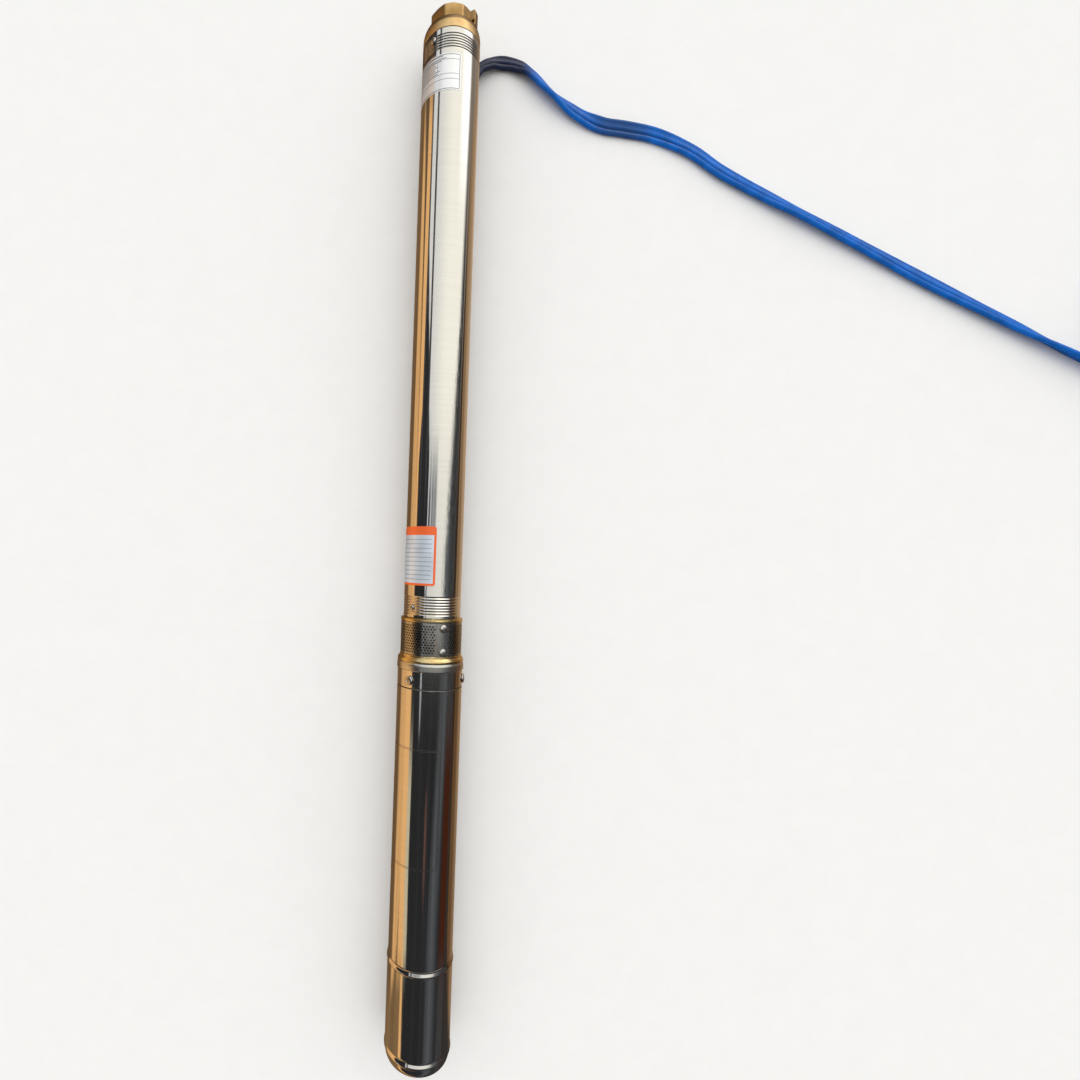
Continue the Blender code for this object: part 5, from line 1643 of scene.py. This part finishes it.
class PUMP_OT_stage(bpy.types.Operator):
    """Lay the pale floor and hang the soft studio round the pump"""

    bl_idname = "pump.stage"
    bl_label = "Stage"

    def execute(self, context):
        scene = context.scene
        shape = bmesh.new()
        bmesh.ops.create_grid(shape, x_segments=1, y_segments=1, size=12.0)
        mesh = mesh_of("floor", shape)
        mesh.transform(Matrix.Translation((0.0, 0.6, FLOOR - SKIN)))
        mesh.materials.append(floor_finish(tuple(scene.pump_studio.floor_tone)))
        floor = bpy.data.objects.new("floor", mesh)
        scene.collection.objects.link(floor)
        floor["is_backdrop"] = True
        studio_sky(scene)
        scene.view_settings.view_transform = "Standard"
        return {"FINISHED"}


def layered(tone, *layers):
    """A colour with others laid over it in order, each with its mask."""
    for mask, colour in layers:
        tone = blended(mask, tone, colour)
    return tone


def floor_finish(tone):
    """A pale floor that polished steel sees as warm wooden boards."""
    made, tree, shader = fresh_material("studio_floor", roughness=0.9, specular_ior_level=0.1)
    coordinates = coordinates_in(tree)
    dust = between(noise(coordinates, 40.0, 4.0), 0.3, 0.7)
    feed(shader, base_color=blended(dust, tone, scaled(tone, 0.985)))
    x, y, _ = axes(coordinates)
    ahead = between(y, 1.15, 1.28)
    upper = between(y, 0.42, 0.54)
    left = layered(
        blended(between(x, -0.11, -0.16), (0.23, 0.135, 0.065), (1.10, 0.62, 0.25)),
        (ahead, (0.19, 0.125, 0.075)),
        (between(y - x * 0.57, 0.10, 0.04), (0.30, 0.18, 0.085)),
    )
    right = layered(
        blended(upper, (0.42, 0.27, 0.15), (0.58, 0.40, 0.25)),
        (between(x, 0.06, 0.16), blended(upper, (0.20, 0.105, 0.045), (0.40, 0.25, 0.13))),
        (between(x, 0.26, 0.36), (0.06, 0.035, 0.022)),
        (between(y, 0.02, -0.05), (0.05, 0.045, 0.042)),
        (ahead, (0.34, 0.29, 0.24)),
    )
    grain = between(stretched_noise(tree, 14.0, 1.6, 3.0), 0.40, 0.60, 0.0, 0.28)
    boards = layered(left, (between(x, -0.01, 0.01), right), (grain, (0.05, 0.025, 0.012)))
    # The boards glow for glossy rays only: a painted reflection of wooden boards, with painted shade in
    # places, lit by no lamp
    lit = put(tree, "ShaderNodeEmission", {"Color": boards, "Strength": 1.0})
    ray = put(tree, "ShaderNodeLightPath", output="Is Glossy Ray")
    seen = put(tree, "ShaderNodeMixShader", {0: ray, 1: Wire(shader.outputs[0]), 2: lit})
    plug(tree.nodes["Material Output"].inputs["Surface"], seen)
    return made


def studio_sky(scene):
    """Soft light from all round, with a bright end over the barrel and a dark one over the motor."""
    world = bpy.data.worlds.new("soft_studio")
    scene.world = world
    world.use_nodes = True
    world.cycles.sampling_method = "NONE"
    tree = world.node_tree
    x, y, z = axes(coordinates_in(tree, "Generated"))
    along = calc("DIVIDE", y, calc("SQRT", x * x + z * z + 0.0004))
    zenith = calc("ARCTAN2", x, z) * (180.0 / math.pi)
    room = layered(window_room(zenith, along), (between(z, 0.0, -0.02), (0.3, 0.2, 0.12)))

    soft = blended(between(z, -0.2, 1.0, 0.55, 1.0, False), (0.42, 0.42, 0.44), (1.18, 1.17, 1.14))
    side = between(y, -1.0, 1.0, 0.25, 1.75, False)
    soft = blended(1.0, soft, put(tree, "ShaderNodeCombineXYZ", {0: side, 1: side, 2: side}), "MULTIPLY")
    glossy = put(tree, "ShaderNodeLightPath", output="Is Glossy Ray")
    direct = put(tree, "ShaderNodeLightPath", output="Is Camera Ray")
    seen = layered(soft, (glossy, room), (direct, (0.80, 0.80, 0.80)))
    background = tree.nodes["Background"]
    plug(background.inputs["Color"], seen)
    background.inputs["Strength"].default_value = 1.0


def window_room(zenith, along):
    """What the steel sees: a room with a window, by the angle from straight up and the way along the pump."""
    tree = zenith.tree
    across = put(tree, "ShaderNodeCombineXYZ", {"X": zenith * 0.14, "Y": along * 170.0})
    leaves = noise(across, 1.0, 2.0)
    values = {"W": zenith * 0.16, "Scale": 1.0, "Detail": 2.0}
    ripple = put(tree, "ShaderNodeTexNoise", values, noise_dimensions="1D")

    glow = abs(zenith - between(along, -0.7, -0.2, 36.0, 52.0))
    turned_away = span(along, -0.20, -0.10, 0.16, 0.36)
    tan_edge = between(along, -0.95, -0.55, -60.0, -68.0, False) - turned_away * 14.0
    tan_off = tan_edge - zenith
    tan = layered(
        blended(between(along, 0.80, 0.94), (1.10, 0.62, 0.25), (0.25, 0.16, 0.09)),
        (between(zenith, -69.0, -74.0) * between(along, -0.72, -0.80), (0.30, 0.18, 0.085)),
    )
    cream = between(abs(tan_off + 5.0), 7.5, 5.5) * between(along, -0.25, -0.45)
    rust = between(along, -0.80, -0.70) * between(along, -0.22, -0.42)
    shade = layered(
        blended(between(leaves, 0.42, 0.62), (0.035, 0.034, 0.036), (0.11, 0.11, 0.11)),
        (rust, (0.075, 0.022, 0.010)),
        (between(along, 0.5, 0.9), (0.22, 0.17, 0.13)),
    )
    room = layered(
        blended(between(glow, 24.0, 5.0), (0.028, 0.029, 0.031), (0.12, 0.13, 0.14)),
        (between(ripple, 0.45, 0.75), (0.05, 0.05, 0.055)),
        (between(abs(zenith), 5.0, 2.0) * span(along, -0.66, -0.56, -0.48, -0.40), (0.16, 0.085, 0.070)),
        (between(tan_off, -2.0, 2.0), tan),
        (cream * between(along, -0.78, -0.72), (0.75, 0.66, 0.46)),
        (between(zenith, 58.0, 70.0), shade),
    )

    lamp = span(zenith, 12.0, 36.0, 66.0, 84.0) * between(along, 1.0, 1.5)
    cool = between(zenith, 6.0, -8.0) * span(along, 0.0, 0.03, 0.12, 0.26)
    daylight = layered(
        blended(between(zenith, -50.0, 24.0), (0.98, 0.98, 0.95), (1.36, 1.33, 1.20)),
        (between(zenith, 38.0, 62.0) * between(along, 0.60, 0.80), (1.80, 1.79, 1.75)),
        (lamp, (3.2, 3.0, 2.6)),
        (between(along, -0.04, 0.40, 0.32, 0.0), (0.55, 0.57, 0.60)),
        (cool * between(ripple, 0.62, 0.40, 0.35, 0.95), (0.10, 0.12, 0.16)),
    )
    left_edge = between(along, 0.10, 0.62, -28.0, -70.0, False)
    right_edge = between(along, 0.0, 0.44, 42.0, 76.0, False) + between(along, 0.44, 0.9, 0.0, 14.0, False)
    ragged = (leaves - 0.5) * between(along, 0.7, 0.2, 6.0, 60.0)
    window = between(along, -0.16, -0.08) * between(zenith - left_edge, -2.0, 3.0)
    window = window * between(right_edge - zenith + ragged, -6.0, 10.0)
    pane = between(abs(zenith + 33.0), 2.6, 1.2) * span(along, -0.34, -0.26, 0.20, 0.30)
    room = layered(room, (window, daylight), (pane, (0.80, 0.82, 0.85)))
    for middle, half in ((-70.0, 3.2), (-47.0, 3.6)):
        line = between(abs(zenith - middle), half + 1.0, half - 0.8) * between(along, 0.02, 0.2)
        room = blended(line, room, (0.07, 0.07, 0.075))
    return room


class PUMP_PT_panel(bpy.types.Panel):
    """Lists the steps that build the pump's looks"""

    bl_idname = "PUMP_PT_panel"
    bl_label = "Borehole pump"
    bl_space_type = "VIEW_3D"
    bl_region_type = "UI"
    bl_category = "Pump"

    def draw(self, context):
        layout_column = self.layout.column(align=True)
        for step in STEPS:
            layout_column.operator(step.bl_idname)


STEPS = (
    PUMP_OT_camera,
    PUMP_OT_cable,
    PUMP_OT_motor,
    PUMP_OT_inlet,
    PUMP_OT_barrel,
    PUMP_OT_labels,
    PUMP_OT_outlet,
    PUMP_OT_screws,
    PUMP_OT_inner_parts,
    PUMP_OT_stage,
)
GROUPS = (PumpSizes, PumpColours, StudioSettings)


def register():
    for added in (*GROUPS, *STEPS, PUMP_PT_panel):
        bpy.utils.register_class(added)
    bpy.types.Scene.pump_sizes = PointerProperty(type=PumpSizes)
    bpy.types.Scene.pump_colours = PointerProperty(type=PumpColours)
    bpy.types.Scene.pump_studio = PointerProperty(type=StudioSettings)


def unregister():
    del bpy.types.Scene.pump_studio
    del bpy.types.Scene.pump_colours
    del bpy.types.Scene.pump_sizes
    for added in (PUMP_PT_panel, *reversed(STEPS), *reversed(GROUPS)):
        bpy.utils.unregister_class(added)


def main():
    register()
    for step in STEPS:
        family, action = step.bl_idname.split(".")
        getattr(getattr(bpy.ops, family), action)()
    box_low, box_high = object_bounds()
    sizes = {
        "cad": [list(CAD_LOW), list(CAD_HIGH)],
        "visual": [list(box_low), list(box_high)],
    }


if __name__ == "__main__":
    main()
